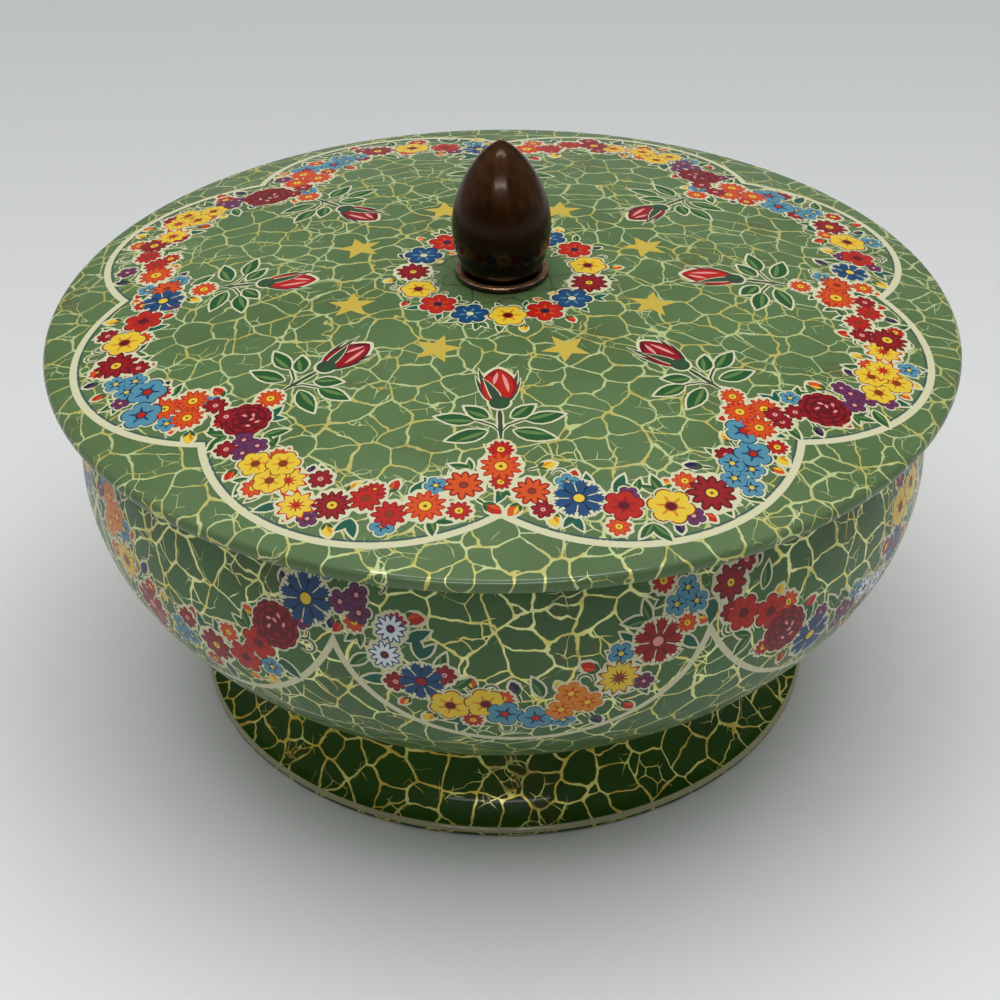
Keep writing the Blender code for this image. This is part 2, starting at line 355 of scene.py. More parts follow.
@dataclass(frozen=True)
class CrackledLacquer(Finish):
    """Coloured lacquer with a net of gold cracks, as one finish.

    Attributes:
        shade: The darker tone that the lacquer drifts to.
        gold: The colour of the cracks.
        deep_gold: The colour that the cracks drift to.
        cell: The width of a large field between the cracks, in metres.
        crack: The width of a main crack, in metres.
        fringe: The colour that seeps into the lacquer beside a crack.
        fringe_share: How strongly it seeps.
        worn_radius: Inside this radius the cracks have gone dark, in metres.
        metal_share: How metallic the cracks are.
        faint_heights: The cracks are thin and dull under the first of these heights and full
        over the second, in metres: painted haze, standing in for the varnish's reflection
        that veils them.
    """

    shade: Colour = (0.0, 0.0, 0.0)
    gold: Colour = linear(192, 203, 144)
    deep_gold: Colour = linear(190, 182, 98)
    cell: float = 0.0071
    crack: float = 0.00033
    fringe: Colour = linear(120, 130, 70)
    fringe_share: float = 0.3
    worn_radius: float = 0.0
    metal_share: float = 0.3
    faint_heights: Point = (-2.0, -1.0)
    rough: float = 0.38
    varnish: float = 0.3
    sheen: float = 0.2

    # How unevenly the fields are spread, how far their corners are rounded in field widths,
    # how much wider the cracks are at them, and the colours of wear and stain.
    UNEVEN: ClassVar = 0.88
    BLUR: ClassVar = 0.14
    FILLET: ClassVar = 2.0
    WORN: ClassVar = linear(40, 46, 26)
    STAIN: ClassVar = linear(86, 72, 38)

    def seeds(self, bench: NodeBench, spot: Socket, feature: str) -> Node:
        """The node that finds the seeds of the fields round a point, in field widths."""
        inputs = {"Vector": spot, "Scale": 1.0, "Randomness": self.UNEVEN}
        return bench.put("ShaderNodeTexVoronoi", inputs, feature=feature)

    def fillet(self, bench: NodeBench, spot: Socket, first: Socket, second: Socket) -> Socket:
        """How much wider the cracks are where three of them meet.

        Args:
            bench: The material's tree.
            spot: The point, in field widths.
            first: Its distance to the nearest seed.
            second: Its distance to the next one.

        Returns:
            The extra width on each side, in field widths.
        """
        smooth = self.seeds(bench, spot, "SMOOTH_F1")
        bench.feed(smooth.inputs["Smoothness"], 2.0 * self.BLUR)
        apart = bench.math("SUBTRACT", second, first)
        near = bench.ramp(apart, self.BLUR, -self.BLUR)
        share = bench.times(near, near, bench.math("SUBTRACT", 3.0, bench.math("ADD", near, near)))
        both = bench.times(share, bench.math("SUBTRACT", 1.0, share))
        pair = bench.math("SUBTRACT", bench.times(both, self.BLUR), bench.times(share, apart))
        sunk = bench.math("SUBTRACT", first, smooth.outputs["Distance"])
        extra = bench.math("MAXIMUM", bench.math("SUBTRACT", sunk, pair), 0.0)
        return bench.times(extra, self.FILLET)

    def cracks(
        self,
        bench: NodeBench,
        where: Socket,
        cell: float,
        width: float,
        broken: float,
        patch: float,
        rounded: bool,
    ) -> Socket:
        """One net of cracks: where the walls of three-dimensional fields meet the surface.

        A wall that meets the surface at a slant would give a wide line, so the distance to it
        is divided by how steeply it stands.

        Args:
            bench: The material's tree.
            where: The coordinates that the net lies on.
            cell: The width of a field, in metres.
            width: The width of a crack, in metres.
            broken: How much of the net is missing; over 0.62 some of it is.
            patch: The size of the blotches in which it thins out, in metres.
            rounded: Whether the corners of the fields are rounded.

        Returns:
            The distance from a crack's middle over its half width: under 1 is inside it.
        """
        spot = bench.vector("MULTIPLY", where, (1.0 / cell,) * 3)
        nodes = [self.seeds(bench, spot, feature) for feature in ("F1", "F2")]
        first, second = (node.outputs["Position"] for node in nodes)
        across = bench.vector("NORMALIZE", bench.vector("SUBTRACT", second, first))
        middle = bench.scaled(bench.vector("ADD", first, second), 0.5)
        away = bench.vector("DOT_PRODUCT", bench.vector("SUBTRACT", middle, spot), across)
        outward = bench.put("ShaderNodeNewGeometry").outputs["Normal"]
        facing = bench.vector("DOT_PRODUCT", across, outward)
        flat = bench.math("SUBTRACT", 1.0, bench.math("POWER", facing, 2.0))
        slant = bench.math("SQRT", bench.math("MAXIMUM", flat, 0.01))
        apart = bench.math("DIVIDE", away, slant)
        if rounded:
            extra = self.fillet(bench, spot, *(node.outputs["Distance"] for node in nodes))
            apart = bench.math("MAXIMUM", bench.math("SUBTRACT", apart, extra), 0.0)
        drift = bench.noise(where, patch, 1.0)
        share = bench.ramp(drift, 0.3, 0.7, 1.0 - 1.6 * broken, 1.3)
        allowed = bench.math("MAXIMUM", bench.times(share, 0.5 * width / cell), 0.0001)
        return bench.math("DIVIDE", apart, allowed)

    def crack_colour(self, bench: FinishBench) -> Socket:
        """The colour in the cracks, dark in the middle from the wear of hands.

        Args:
            bench: The material's tree.

        Returns:
            The colour.
        """
        tone = bench.noise(bench.where, 0.006, 2.0)
        gold = bench.blend(bench.ramp(tone, 0.42, 0.62), self.gold, self.deep_gold)
        if not self.worn_radius:
            return gold
        flat = bench.vector("MULTIPLY", bench.shifted(bench.where, 0.003, 0.006), (1.0, 1.0, 0.0))
        radius = bench.vector("LENGTH", flat)
        wear_and_glint = bench.ramp(radius, self.worn_radius, self.worn_radius * 0.85, 0.0, 0.9)
        return bench.blend(wear_and_glint, gold, self.WORN)

    def wire(self, bench: FinishBench) -> None:
        """Wires the lacquer's drift, the two nets of cracks and the metal that shows in them.

        Args:
            bench: The material's tree.
        """
        where, cell, crack = bench.where, self.cell, self.crack
        bent = bench.shifted(bench.shifted(where, 0.0019, 0.008), 0.00022, 0.0015)
        whole = {"broken": 0.2, "patch": cell * 0.6, "rounded": True}
        main = self.cracks(bench, bent, cell, crack, **whole)
        patchy = {"broken": 1.55, "patch": cell * 1.3, "rounded": False}
        fine = self.cracks(bench, bent, cell * 0.75, crack * 0.65, **patchy)
        # Painted haze: under the faint heights the cracks are drawn thinner and duller, standing in
        # for the varnish's reflection that veils them.
        height = bench.split(where)[2]
        thinned = bench.ramp(height, *self.faint_heights, 1.7, 1.0)
        nearest = bench.times(bench.math("MINIMUM", main, fine), thinned)
        dulled = bench.ramp(height, *self.faint_heights, 0.65, 1.0)
        line = bench.times(bench.ramp(nearest, 1.2, 0.8), dulled)
        seep = bench.times(bench.ramp(main, 2.4, 1.0), self.fringe_share)

        drift = bench.noise(where, 0.03, 3.0)
        paint = bench.blend(bench.ramp(drift, 0.35, 0.7), self.colour, self.shade)
        paint = bench.blend(seep, paint, self.fringe)
        printed = bench.blend(line, paint, self.crack_colour(bench))
        patches = bench.ramp(bench.noise(where, 0.019, 2.0), 0.58, 0.72)
        specks = bench.ramp(bench.noise(where, 0.0021, 4.0), 0.44, 0.62, 0.1, 0.6)
        stained = bench.blend(bench.times(patches, specks), printed, self.STAIN)
        bench.show({"Base Color": stained, "Metallic": bench.times(line, self.metal_share)})
        self.wavy(bench)


@dataclass(frozen=True)
class BareTin(Finish):
    """Rolled tinplate under a faint gold lacquer, as inside the bowl and the lid.

    Attributes:
        stain: The colour of its cloudy lacquer.
        spot: The colour of its small stains.
    """

    stain: Colour = linear(168, 148, 104)
    spot: Colour = linear(112, 86, 56)
    metal: float = 0.8
    rough: float = 0.3
    varnish: float = 0.3
    varnish_rough: float = 0.15

    def wire(self, bench: FinishBench) -> None:
        """Wires the rolling lines, the cloudy lacquer and small stains.

        Args:
            bench: The material's tree.
        """
        rolled = bench.noise(bench.vector("MULTIPLY", bench.where, (1.0, 0.12, 0.4)), 0.0007)
        cloud = bench.ramp(bench.noise(bench.where, 0.022, 4.0), 0.35, 0.75, 0.0, 0.6)
        spots = bench.ramp(bench.noise(bench.where, 0.0035, 4.0), 0.66, 0.74, 0.0, 0.55)
        base = bench.blend(cloud, self.colour, self.stain)
        base = bench.blend(spots, base, self.spot)
        normal = bench.bump(rolled, 0.00001, 0.4)
        rough = self.uneven(bench, rolled, 0.8, 1.3)
        bench.show({"Base Color": base, "Roughness": rough, "Normal": normal})


@dataclass(frozen=True)
class TurnedBrown(Finish):
    """The knob's glossy brown, with painted light that makes it paler towards its tip, and faint
    streaks up and down.

    Attributes:
        light: The paler brown of the painted light.
        low: The height up to which there is none of it, in metres.
        high: The height from which there is most of it.
    """

    light: Colour = linear(68, 38, 11)
    gloss: Colour = (1.0, 0.8, 0.64)
    low: float = 0.0
    high: float = 1.0

    def wire(self, bench: FinishBench) -> None:
        """Wires the streaks, the paler blotches of painted light that grow towards the tip, and a
        fine orange-peel.

        Args:
            bench: The material's tree.
        """
        upright = (1.0, 1.0, 0.09)
        streaked = bench.vector("MULTIPLY", bench.shifted(bench.where, 0.0008, 0.01), upright)
        streaks = bench.ramp(bench.noise(streaked, 0.0016, 4.0), 0.3, 0.75, 0.45, 1.0)
        blotch = bench.noise(bench.where, 0.008, 3.0)
        # Painted light: the brown grows paler with height, standing in for light from above
        # mirrored in the gloss.
        painted_light = bench.ramp(bench.split(bench.where)[2], self.low, self.high)
        share = bench.times(streaks, bench.ramp(blotch, 0.3, 0.7, 0.6, 1.0), painted_light)
        base = bench.blend(share, self.colour, self.light)
        rough = self.uneven(bench, blotch, 0.8, 1.5)
        normal = bench.bump(bench.noise(streaked, 0.003), 0.0002, 0.35)
        bench.show({"Base Color": base, "Roughness": rough})
        bench.show({"Normal": normal, "Coat Normal": normal})


@dataclass(frozen=True)
class GrimyBronzePaintedLip(Finish):
    """Dark bronze lacquer with grime, and a painted highlight along the saucer's lip.

    Attributes:
        wear_and_glint: The pale colour painted along the lip as its highlight.
        grime: The colour of the dirt in it.
        lip_height: The height of the lip's top, in metres.
        lip_fade: How far under it the painted highlight starts.
    """

    wear_and_glint: Colour = linear(176, 132, 92)
    grime: Colour = linear(52, 30, 20)
    lip_height: float = 0.1
    lip_fade: float = 0.00025

    def wire(self, bench: FinishBench) -> None:
        """Wires the painted highlight on the lip and the grime below it.

        Args:
            bench: The material's tree.
        """
        # Painted highlight: the bronze turns pale towards the lip's top, where it catches the
        # light.
        height = bench.split(bench.shifted(bench.where, 0.00025, 0.004))[2]
        painted_light = bench.ramp(height, self.lip_height - self.lip_fade, self.lip_height)
        dirt = bench.noise(bench.where, 0.003, 4.0)
        base = bench.blend(bench.ramp(dirt, 0.35, 0.7), self.colour, self.grime)
        share = bench.times(painted_light, bench.ramp(dirt, 0.3, 0.55, 0.45, 1.0))
        base = bench.blend(share, base, self.wear_and_glint)
        normal = bench.bump(dirt, 0.00004, 0.4)
        rough = self.uneven(bench, dirt, 0.75, 1.3)
        bench.show({"Base Color": base, "Roughness": rough, "Normal": normal})


@dataclass(frozen=True)
class MachinedMetal(Finish):
    """Turned or plated metal with fine tool rings and a dull bloom.

    Attributes:
        bloom: The colour of the bloom.
        rings: How close the tool rings are.
    """

    bloom: Colour = linear(120, 118, 112)
    rings: float = 700.0
    metal: float = 1.0

    def wire(self, bench: FinishBench) -> None:
        """Wires the tool rings about the axis and the bloom.

        Args:
            bench: The material's tree.
        """
        inputs = {"Vector": bench.where, "Scale": self.rings, "Distortion": 1.5}
        kind = {"wave_type": "RINGS", "rings_direction": "Z"}
        marks = bench.put("ShaderNodeTexWave", inputs, **kind).outputs["Fac"]
        cloud = bench.noise(bench.where, 0.002, 4.0)
        base = bench.blend(bench.ramp(cloud, 0.4, 0.72), self.colour, self.bloom)
        normal = bench.bump(marks, 0.00002, 0.4)
        rough = self.uneven(bench, cloud, 0.75, 1.4)
        bench.show({"Base Color": base, "Roughness": rough, "Normal": normal})


@dataclass(frozen=True)
class StudioPaper(Finish):
    """The pale, matt sheet that the tin stands on, painted darker far off as shade for the light
    that falls off with distance.
    """

    far: Colour = linear(177, 179, 179)

    def wire(self, bench: FinishBench) -> None:
        """Wires the painted shade from the near colour to the darker far one, and a faint tooth.

        Args:
            bench: The material's tree.
        """
        # Painted shade: the sheet darkens towards the back, where less light would reach it.
        share = bench.ramp(bench.split(bench.where)[1], -0.25, 0.55)
        tooth = bench.noise(bench.where, 0.0012, 3.0)
        base = bench.blend(share, self.colour, self.far)
        bench.show({"Base Color": base, "Roughness": bench.ramp(tooth, 0.3, 0.7, 0.85, 1.0)})


class Ink(Enum):
    """The printing inks as screen colours, in the order of their numbers on faces."""

    CREAM = (202, 200, 164)
    SLATE = (58, 82, 88)
    GOLD = (200, 174, 72)
    TAN = (162, 158, 122)
    LEAF = (38, 82, 44)
    LEAF_LIGHT = (92, 122, 66)
    TEAL = (28, 84, 66)
    SEPAL = (50, 70, 50)
    YELLOW = (216, 184, 50)
    AMBER = (202, 124, 28)
    BROWN = (126, 54, 18)
    ORANGE = (200, 76, 20)
    SCARLET = (172, 32, 18)
    CRIMSON = (138, 18, 26)
    MAROON = (94, 12, 24)
    PINK = (214, 140, 136)
    WHITE = (214, 220, 222)
    SKY = (78, 134, 154)
    BLUE = (28, 68, 108)
    NAVY = (24, 32, 64)
    PURPLE = (96, 46, 84)

    @property
    def number(self) -> int:
        """The ink's number on a motif's faces."""
        return list(Ink).index(self)

    def material(self) -> bpy.types.Material:
        """The ink's material, of which gold alone is a little metallic."""
        metal = 0.15 if self is Ink.GOLD else 0.0
        return PrintedInk(f"ink_{self.name.lower()}", linear(*self.value), metal=metal).material()


# -------------------------------------------------------------------- drawings


def polar(radius: float, turn: float, centre: Point = ORIGIN) -> Point:
    """The point at a radius and an angle, in radians, about a centre."""
    return (centre[0] + radius * math.cos(turn), centre[1] + radius * math.sin(turn))


def spokes(count: int, offset: float = 0.0) -> list[float]:
    """Headings in degrees that share out a full turn, moved on by a share of a step."""
    return [360.0 * (step + offset) / count for step in range(count)]


def about(centre: Point, radius: Callable[[float], float] | float, count: int) -> Outline:
    """Draws a closed shape about a centre.

    Args:
        centre: Its centre.
        radius: Its radius, or a rule that gives it at an angle in radians.
        count: How many points it has.

    Returns:
        The outline, anticlockwise.
    """
    rule = radius if callable(radius) else lambda turn: radius
    turns = [2.0 * math.pi * step / count for step in range(count)]
    return [polar(rule(turn), turn, centre) for turn in turns]


def spear(
    root: Point,
    heading: float,
    length: float,
    width: float,
    swell: float = 1.0,
    blunt: float = 1.0,
    hook: float = 0.0,
    count: int = 5,
) -> Outline:
    """Draws a leaf or a petal.

    Args:
        root: Where it starts.
        heading: Where it points, in degrees.
        length: Its length.
        width: Its greatest width.
        swell: Over 1 it is widest near its tip, under 1 near its root.
        blunt: Under 1 its ends are round, over 1 they are drawn out.
        hook: How far its tip bends to the left, as a share of its length.
        count: How many steps each side has.

    Returns:
        The outline, anticlockwise.
    """
    along = Vector(polar(1.0, math.radians(heading)))
    across = Vector((-along.y, along.x))
    right, left = [], []
    for step in range(count + 1):
        share = (1.0 - math.cos(math.pi * step / count)) / 2.0
        half = width / 2.0 * max(math.sin(math.pi * share**swell), 0.0) ** blunt
        spine = Vector(root) + along * length * share + across * hook * length * share**2
        right.append(tuple(spine - across * half))
        if 0 < step < count:
            left.append(tuple(spine + across * half))
    return right + left[::-1]


def ribbon(line: Outline, width: float) -> Outline:
    """Draws a stroke that tapers at both ends.

    Args:
        line: Its middle.
        width: Its greatest width.

    Returns:
        The outline.
    """
    sides: tuple[Outline, Outline] = ([], [])
    for index, here in enumerate(line):
        before, after = line[max(index - 1, 0)], line[min(index + 1, len(line) - 1)]
        tangent = (Vector(after) - Vector(before)).normalized()
        half = width / 2.0 * math.sin(math.pi * (0.12 + 0.76 * index / (len(line) - 1)))
        for side, reach in zip(sides, (half, -half)):
            side.append((here[0] + tangent.y * reach, here[1] - tangent.x * reach))
    return sides[0] + sides[1][::-1]


@dataclass
class Sketch:
    """A motif on paper: the outline, ink and layer of flat shapes, from the bottom up."""

    shapes: list[tuple[Outline, Ink, Layer]] = field(default_factory=list)

    # The least length of a leaf that shows its paler half.
    LONG_LEAF: ClassVar = 3.2

    def lay(self, outline: Outline, ink: Ink, layer: Layer = Layer.BLOOM) -> None:
        """Lays a shape over the ones already there."""
        self.shapes.append((outline, ink, layer))

    def halo(self, radius: Callable[[float], float], count: int) -> None:
        """Lays the cream edge under a bloom, by a rule for its radius."""
        self.lay(about(ORIGIN, radius, count), Ink.CREAM, Layer.BLOOM_HALO)

    def disc(self, radius: Callable[[float], float] | float, count: int, ink: Ink) -> None:
        """Lays a patch about the middle of a bloom, of one radius or by a rule for it."""
        self.lay(about(ORIGIN, radius, count), ink)

    def leaf(
        self, root: Point, heading: float, length: float, width: float, ink: Ink, hook: float
    ) -> None:
        """Lays a leaf with its cream edge and a paler half.

        Args:
            root: Where it starts.
            heading: Where it points, in degrees.
            length: Its length.
            width: Its width.
            ink: Its main ink.
            hook: How far its tip bends, as a share of its length.
        """
        back = Vector(polar(1.0, math.radians(heading))) * HALO
        start = (root[0] - back.x, root[1] - back.y)
        long, wide = length + 2.8 * HALO, width + 2.2 * HALO
        edge = spear(start, heading, long, wide, 0.85, 0.85, hook, 7)
        self.lay(edge, Ink.CREAM, Layer.LEAF_HALO)
        self.lay(spear(root, heading, length, width, 0.85, 0.9, hook, 7), ink, Layer.LEAF)
        if ink is Ink.LEAF and length > self.LONG_LEAF:
            inner = spear(root, heading + 7.0, length * 0.84, width * 0.3, 0.9, 1.0, hook)
            self.lay(inner, Ink.LEAF_LIGHT, Layer.LEAF)

    def add(self, other: "Sketch", offset: Point, turn: float) -> None:
        """Lays a copy of another sketch on top.

        Args:
            other: The other sketch.
            offset: Where its origin goes.
            turn: How far it is turned first, in degrees.
        """
        cos, sin = polar(1.0, math.radians(turn))
        for outline, ink, layer in other.shapes:
            moved = [
                (x * cos - y * sin + offset[0], x * sin + y * cos + offset[1]) for x, y in outline
            ]
            self.lay(moved, ink, layer)

    def paper(self, name: str) -> bpy.types.Object:
        """Turns the sketch into a flat mesh object, whose faces carry ink, layer and place.

        Args:
            name: The object's name.

        Returns:
            The object, which isn't in the scene.
        """
        points: list[tuple[float, float, float]] = []
        faces: list[list[int]] = []
        for outline, _, _ in self.shapes:
            faces.append(list(range(len(points), len(points) + len(outline))))
            points += [(x * MM, y * MM, 0.0) for x, y in outline]
        mesh = bpy.data.meshes.new(name)
        mesh.from_pydata(points, [], faces)
        columns = {
            "ink": [ink.number for _, ink, _ in self.shapes],
            "layer": [int(layer) for _, _, layer in self.shapes],
            "place": list(range(len(self.shapes))),
        }
        for label, values in columns.items():
            mesh.attributes.new(label, "INT", "FACE").data.foreach_set("value", values)
        return bpy.data.objects.new(name, mesh)


@dataclass(frozen=True)
class Motif:
    """Something that is printed more than once."""

    def draw(self) -> Sketch:
        """Draws it about the origin, pointing along +X."""
        raise NotImplementedError


@dataclass(frozen=True)
class Bloom(Motif):
    """A flower, seen from the front, whose size is its diameter."""

    size: float

    @property
    def reach(self) -> float:
        """Its radius."""
        return self.size / 2.0


@dataclass(frozen=True)
class RoundBloom(Bloom):
    """A flower of a few round petals, each with a dark edge.

    Attributes:
        petals: How many petals it has.
        petal: The ink of its petals.
        edge: The ink round them.
        vein: The ink of the stroke on each petal.
        heart: The ink of its middle.
    """

    petals: int
    petal: Ink
    edge: Ink
    vein: Ink
    heart: Ink

    def draw(self) -> Sketch:
        """Draws halo, edge, petals, veins and heart.

        Returns:
            The sketch.
        """
        sketch, reach, count = Sketch(), self.reach, self.petals

        def lobes(turn: float) -> float:
            """The radius of the lobed edge at an angle."""
            return reach * (0.72 + 0.28 * abs(math.cos(count * turn / 2.0)) ** 0.55)

        sketch.halo(lambda turn: lobes(turn) + HALO, 8 * count)
        sketch.disc(lobes, 8 * count, self.edge)
        wide = 2.0 * reach * math.sin(math.pi / count) * 0.74
        for heading in spokes(count):
            root = polar(0.14 * reach, math.radians(heading))
            sketch.lay(spear(root, heading, reach * 0.8, wide, 1.4, 0.6), self.petal)
            sketch.lay(spear(root, heading, reach * 0.5, wide * 0.22, 0.8, count=3), self.vein)
        sketch.disc(reach * 0.27, 10, self.edge)
        sketch.disc(reach * 0.2, 10, self.heart)
        return sketch


@dataclass(frozen=True)
class RayBloom(Bloom):
    """A daisy of many narrow rays.

    Attributes:
        rays: How many rays it has.
        ray: The ink of its rays.
        under: The ink between them.
        heart: The ink of its middle.
        heart_share: The share of its radius that the middle takes.
        point: How pointed the rays are.
    """

    rays: int
    ray: Ink
    under: Ink
    heart: Ink
    heart_share: float = 0.28
    point: float = 0.8

    def draw(self) -> Sketch:
        """Draws halo, ground, rays and heart.

        Returns:
            The sketch.
        """
        sketch, reach, count = Sketch(), self.reach, self.rays
        sketch.halo(lambda turn: reach + HALO * (0.75 + 0.45 * math.cos(count * turn)), 4 * count)
        sketch.disc(reach * 0.7, 18, self.under)
        wide = 2.0 * math.pi * reach * 0.66 / count
        for ink, share, far in ((self.under, 1.18, 1.0), (self.ray, 0.72, 0.9)):
            for step, heading in enumerate(spokes(count)):
                long = reach * far * (1.0 if step % 2 else 0.92)
                ray = spear(ORIGIN, heading, long, wide * share, 1.3, self.point, count=4)
                sketch.lay(ray, ink)
        sketch.disc(reach * (self.heart_share + 0.07), 12, self.under)
        sketch.disc(reach * self.heart_share, 12, self.heart)
        sketch.disc(reach * self.heart_share * 0.35, 6, Ink.BROWN)
        return sketch


@dataclass(frozen=True)
class TippedBloom(Bloom):
    """A flower whose pale petals end in coloured points.

    Attributes:
        petals: How many petals it has.
        petal: The ink of its petals.
        tip: The ink of their points and of the star at its heart.
    """

    petals: int
    petal: Ink
    tip: Ink

    def draw(self) -> Sketch:
        """Draws halo, points, petals and the star at the heart.

        Returns:
            The sketch.
        """
        sketch, reach, count = Sketch(), self.reach, self.petals
        sketch.halo(lambda turn: reach * (0.93 + 0.07 * math.cos(count * turn)) + HALO, 4 * count)
        wide = 2.0 * math.pi * reach * 0.62 / count
        for ink, share, extra in ((self.tip, 0.99, 1.0), (self.petal, 0.84, 0.98)):
            for heading in spokes(count):
                sketch.lay(spear(ORIGIN, heading, reach * share, wide * extra, 1.15, 0.85), ink)
        for heading in spokes(count, 0.5):
            sketch.lay(spear(ORIGIN, heading, reach * 0.46, reach * 0.13, 0.6, count=3), self.tip)
        sketch.disc(reach * 0.17, 10, self.tip)
        return sketch


@dataclass(frozen=True)
class RaggedBloom(Bloom):
    """A cornflower with toothed petals.

    Attributes:
        petals: How many petals it has.
        petal: The ink of its petals.
        under: The ink between them.
        heart: The ink of its middle.
    """

    petals: int
    petal: Ink
    under: Ink
    heart: Ink

    # Half of a toothed petal: how far along it and how far across each corner is.
    TOOTH: ClassVar = (
        *((0.1, 0.03), (0.62, 0.17), (0.93, 0.25)),
        *((0.84, 0.13), (1.0, 0.06), (0.9, 0.0)),
    )

    def draw(self) -> Sketch:
        """Draws halo, ground, toothed petals, pale slits and heart.

        Returns:
            The sketch.
        """
        sketch, reach, count = Sketch(), self.reach, self.petals

        def toothed(turn: float) -> float:
            """The radius of the halo at an angle."""
            return reach * 0.97 + HALO * (0.8 + 0.3 * math.cos(2 * count * turn))

        sketch.halo(toothed, 6 * count)
        sketch.disc(reach * 0.74, 20, self.under)
        spread = 9.0 / count
        corners = [*self.TOOTH, *[(along, -across) for along, across in self.TOOTH[-2::-1]]]
        for step in range(count):
            cos, sin = polar(1.0, 2.0 * math.pi * step / count)
            petal = [
                (reach * (a * cos + b * spread * sin), reach * (a * sin - b * spread * cos))
                for a, b in corners
            ]
            sketch.lay(petal, self.petal)
        for heading in spokes(count, 0.5)[::2]:
            root = polar(0.3 * reach, math.radians(heading))
            sketch.lay(spear(root, heading, reach * 0.5, reach * 0.07, count=3), Ink.CREAM)
        sketch.disc(reach * 0.26, 12, self.under)
        sketch.disc(reach * 0.21, 12, self.heart)
        return sketch


@dataclass(frozen=True)
class RuffledBloom(Bloom):
    """A full, ruffled flower with rows of curled petals.

    Attributes:
        ground: The darkest ink.
        curl: The ink of the petals' curls.
        glint: The ink of the few that catch the light.
    """

    ground: Ink
    curl: Ink
    glint: Ink

    # The radius, number and length of the curls in each row, and heading and radius of each
    # glint.
    ROWS: ClassVar = ((0.82, 11, 0.42), (0.58, 8, 0.38), (0.33, 5, 0.3))
    GLINTS: ClassVar = ((20, 0.15), (75, 0.3), (130, 0.2), (320, 0.32), (15, 0.42))

    def draw(self) -> Sketch:
        """Draws halo, ground, rows of curls and the glints.

        Returns:
            The sketch.
        """
        sketch, reach = Sketch(), self.reach

        def ruffle(turn: float) -> float:
            """The radius of the ruffled edge at an angle."""
            return reach * (0.92 + 0.08 * abs(math.sin(5.5 * turn)))

        sketch.halo(lambda turn: ruffle(turn) + HALO, 44)
        sketch.disc(ruffle, 44, self.ground)
        for share, count, long in self.ROWS:
            for step in range(count):
                turn = 2.0 * math.pi * (step + share) / count
                x, y = polar(reach * share, turn)
                out = Vector(polar(1.0, turn))
                side = Vector((-out.y, out.x)) * reach * long / 2.0
                swell = out * reach * 0.07
                line = [(x - side.x, y - side.y), (x + swell.x, y + swell.y)]
                line.append((x + side.x, y + side.y))
                sketch.lay(ribbon(line, reach * 0.17), self.curl)
        for heading, share in self.GLINTS:
            root = polar(reach * share, math.radians(heading))
            glint = spear(root, heading + 70.0, reach * 0.24, reach * 0.13, 1.2, 0.6, count=4)
            sketch.lay(glint, self.glint)
        return sketch


@dataclass(frozen=True)
class Cluster(Motif):
    """Two or three flowers of one kind that overlap.

    Attributes:
        bloom: The flower.
        pitch: The diameter that their places are given in.
        shares: Where the middle of each is, from the bottom up, in diameters.
    """

    PAIR: ClassVar = ((-0.42, 0.08), (0.42, -0.1))
    TRIO: ClassVar = ((-0.42, -0.22), (0.42, -0.18), (0.02, 0.4))

    bloom: Bloom
    pitch: float
    shares: tuple[Point, ...] = TRIO

    def draw(self) -> Sketch:
        """Draws each flower, the later over the earlier.

        Returns:
            The sketch.
        """
        sketch = Sketch()
        for index, (x, y) in enumerate(self.shares):
            sketch.add(self.bloom.draw(), (x * self.pitch, y * self.pitch), 31.0 * index)
        return sketch


@dataclass(frozen=True)
class Bud(Motif):
    """A bud on a short stem, which sticks out beside the garland.

    Attributes:
        length: How far it reaches.
        petal: Its ink.
        fold: The ink of the fold on it.
    """

    length: float
    petal: Ink
    fold: Ink

    def draw(self) -> Sketch:
        """Draws halo, stem, bud, fold and the two small leaves that hold it.

        Returns:
            The sketch.
        """
        sketch, long = Sketch(), self.length
        edge, root, base = (long * 0.3 - HALO, 0.0), (-long * 0.2, 0.0), (long * 0.3, 0.0)
        halo = spear(edge, 0.0, long * 0.72 + 2.4 * HALO, long * 0.5 + 2.0 * HALO, 1.0, 0.7)
        sketch.lay(halo, Ink.CREAM, Layer.LEAF_HALO)
        halo = spear(root, 0.0, long * 0.8, 0.9 + HALO, 1.0, 0.6)
        sketch.lay(halo, Ink.CREAM, Layer.LEAF_HALO)
        sketch.lay(spear(root, 0.0, long * 0.6, 0.55, 1.0, 0.6), Ink.LEAF, Layer.LEAF)
        bud = spear(base, 0.0, long * 0.7, long * 0.44, 0.95, 0.75)
        sketch.lay(bud, self.petal, Layer.LEAF)
        fold = spear((long * 0.36, 0.1), 12.0, long * 0.5, long * 0.14, 1.0, 0.9)
        sketch.lay(fold, self.fold, Layer.LEAF)
        for heading in (-34.0, 34.0):
            leaf = spear((long * 0.26, 0.0), heading, long * 0.4, long * 0.16, 1.0, 0.9)
            sketch.lay(leaf, Ink.LEAF, Layer.LEAF)
        return sketch


@dataclass(frozen=True)
class Foliage(Motif):
    """One to three leaves from one point.

    Attributes:
        length: The length of the longest.
        headings: Where each points, in degrees.
        ink: Their ink.
    """

    length: float
    headings: tuple[float, ...]
    ink: Ink = Ink.LEAF

    def draw(self) -> Sketch:
        """Draws the leaves.

        Returns:
            The sketch.
        """
        sketch = Sketch()
        for index, heading in enumerate(self.headings):
            long = self.length * (1.0 - 0.16 * index)
            hook = 0.12 if heading >= 0 else -0.12
            sketch.leaf(ORIGIN, heading, long, long * 0.42, self.ink, hook)
        return sketch


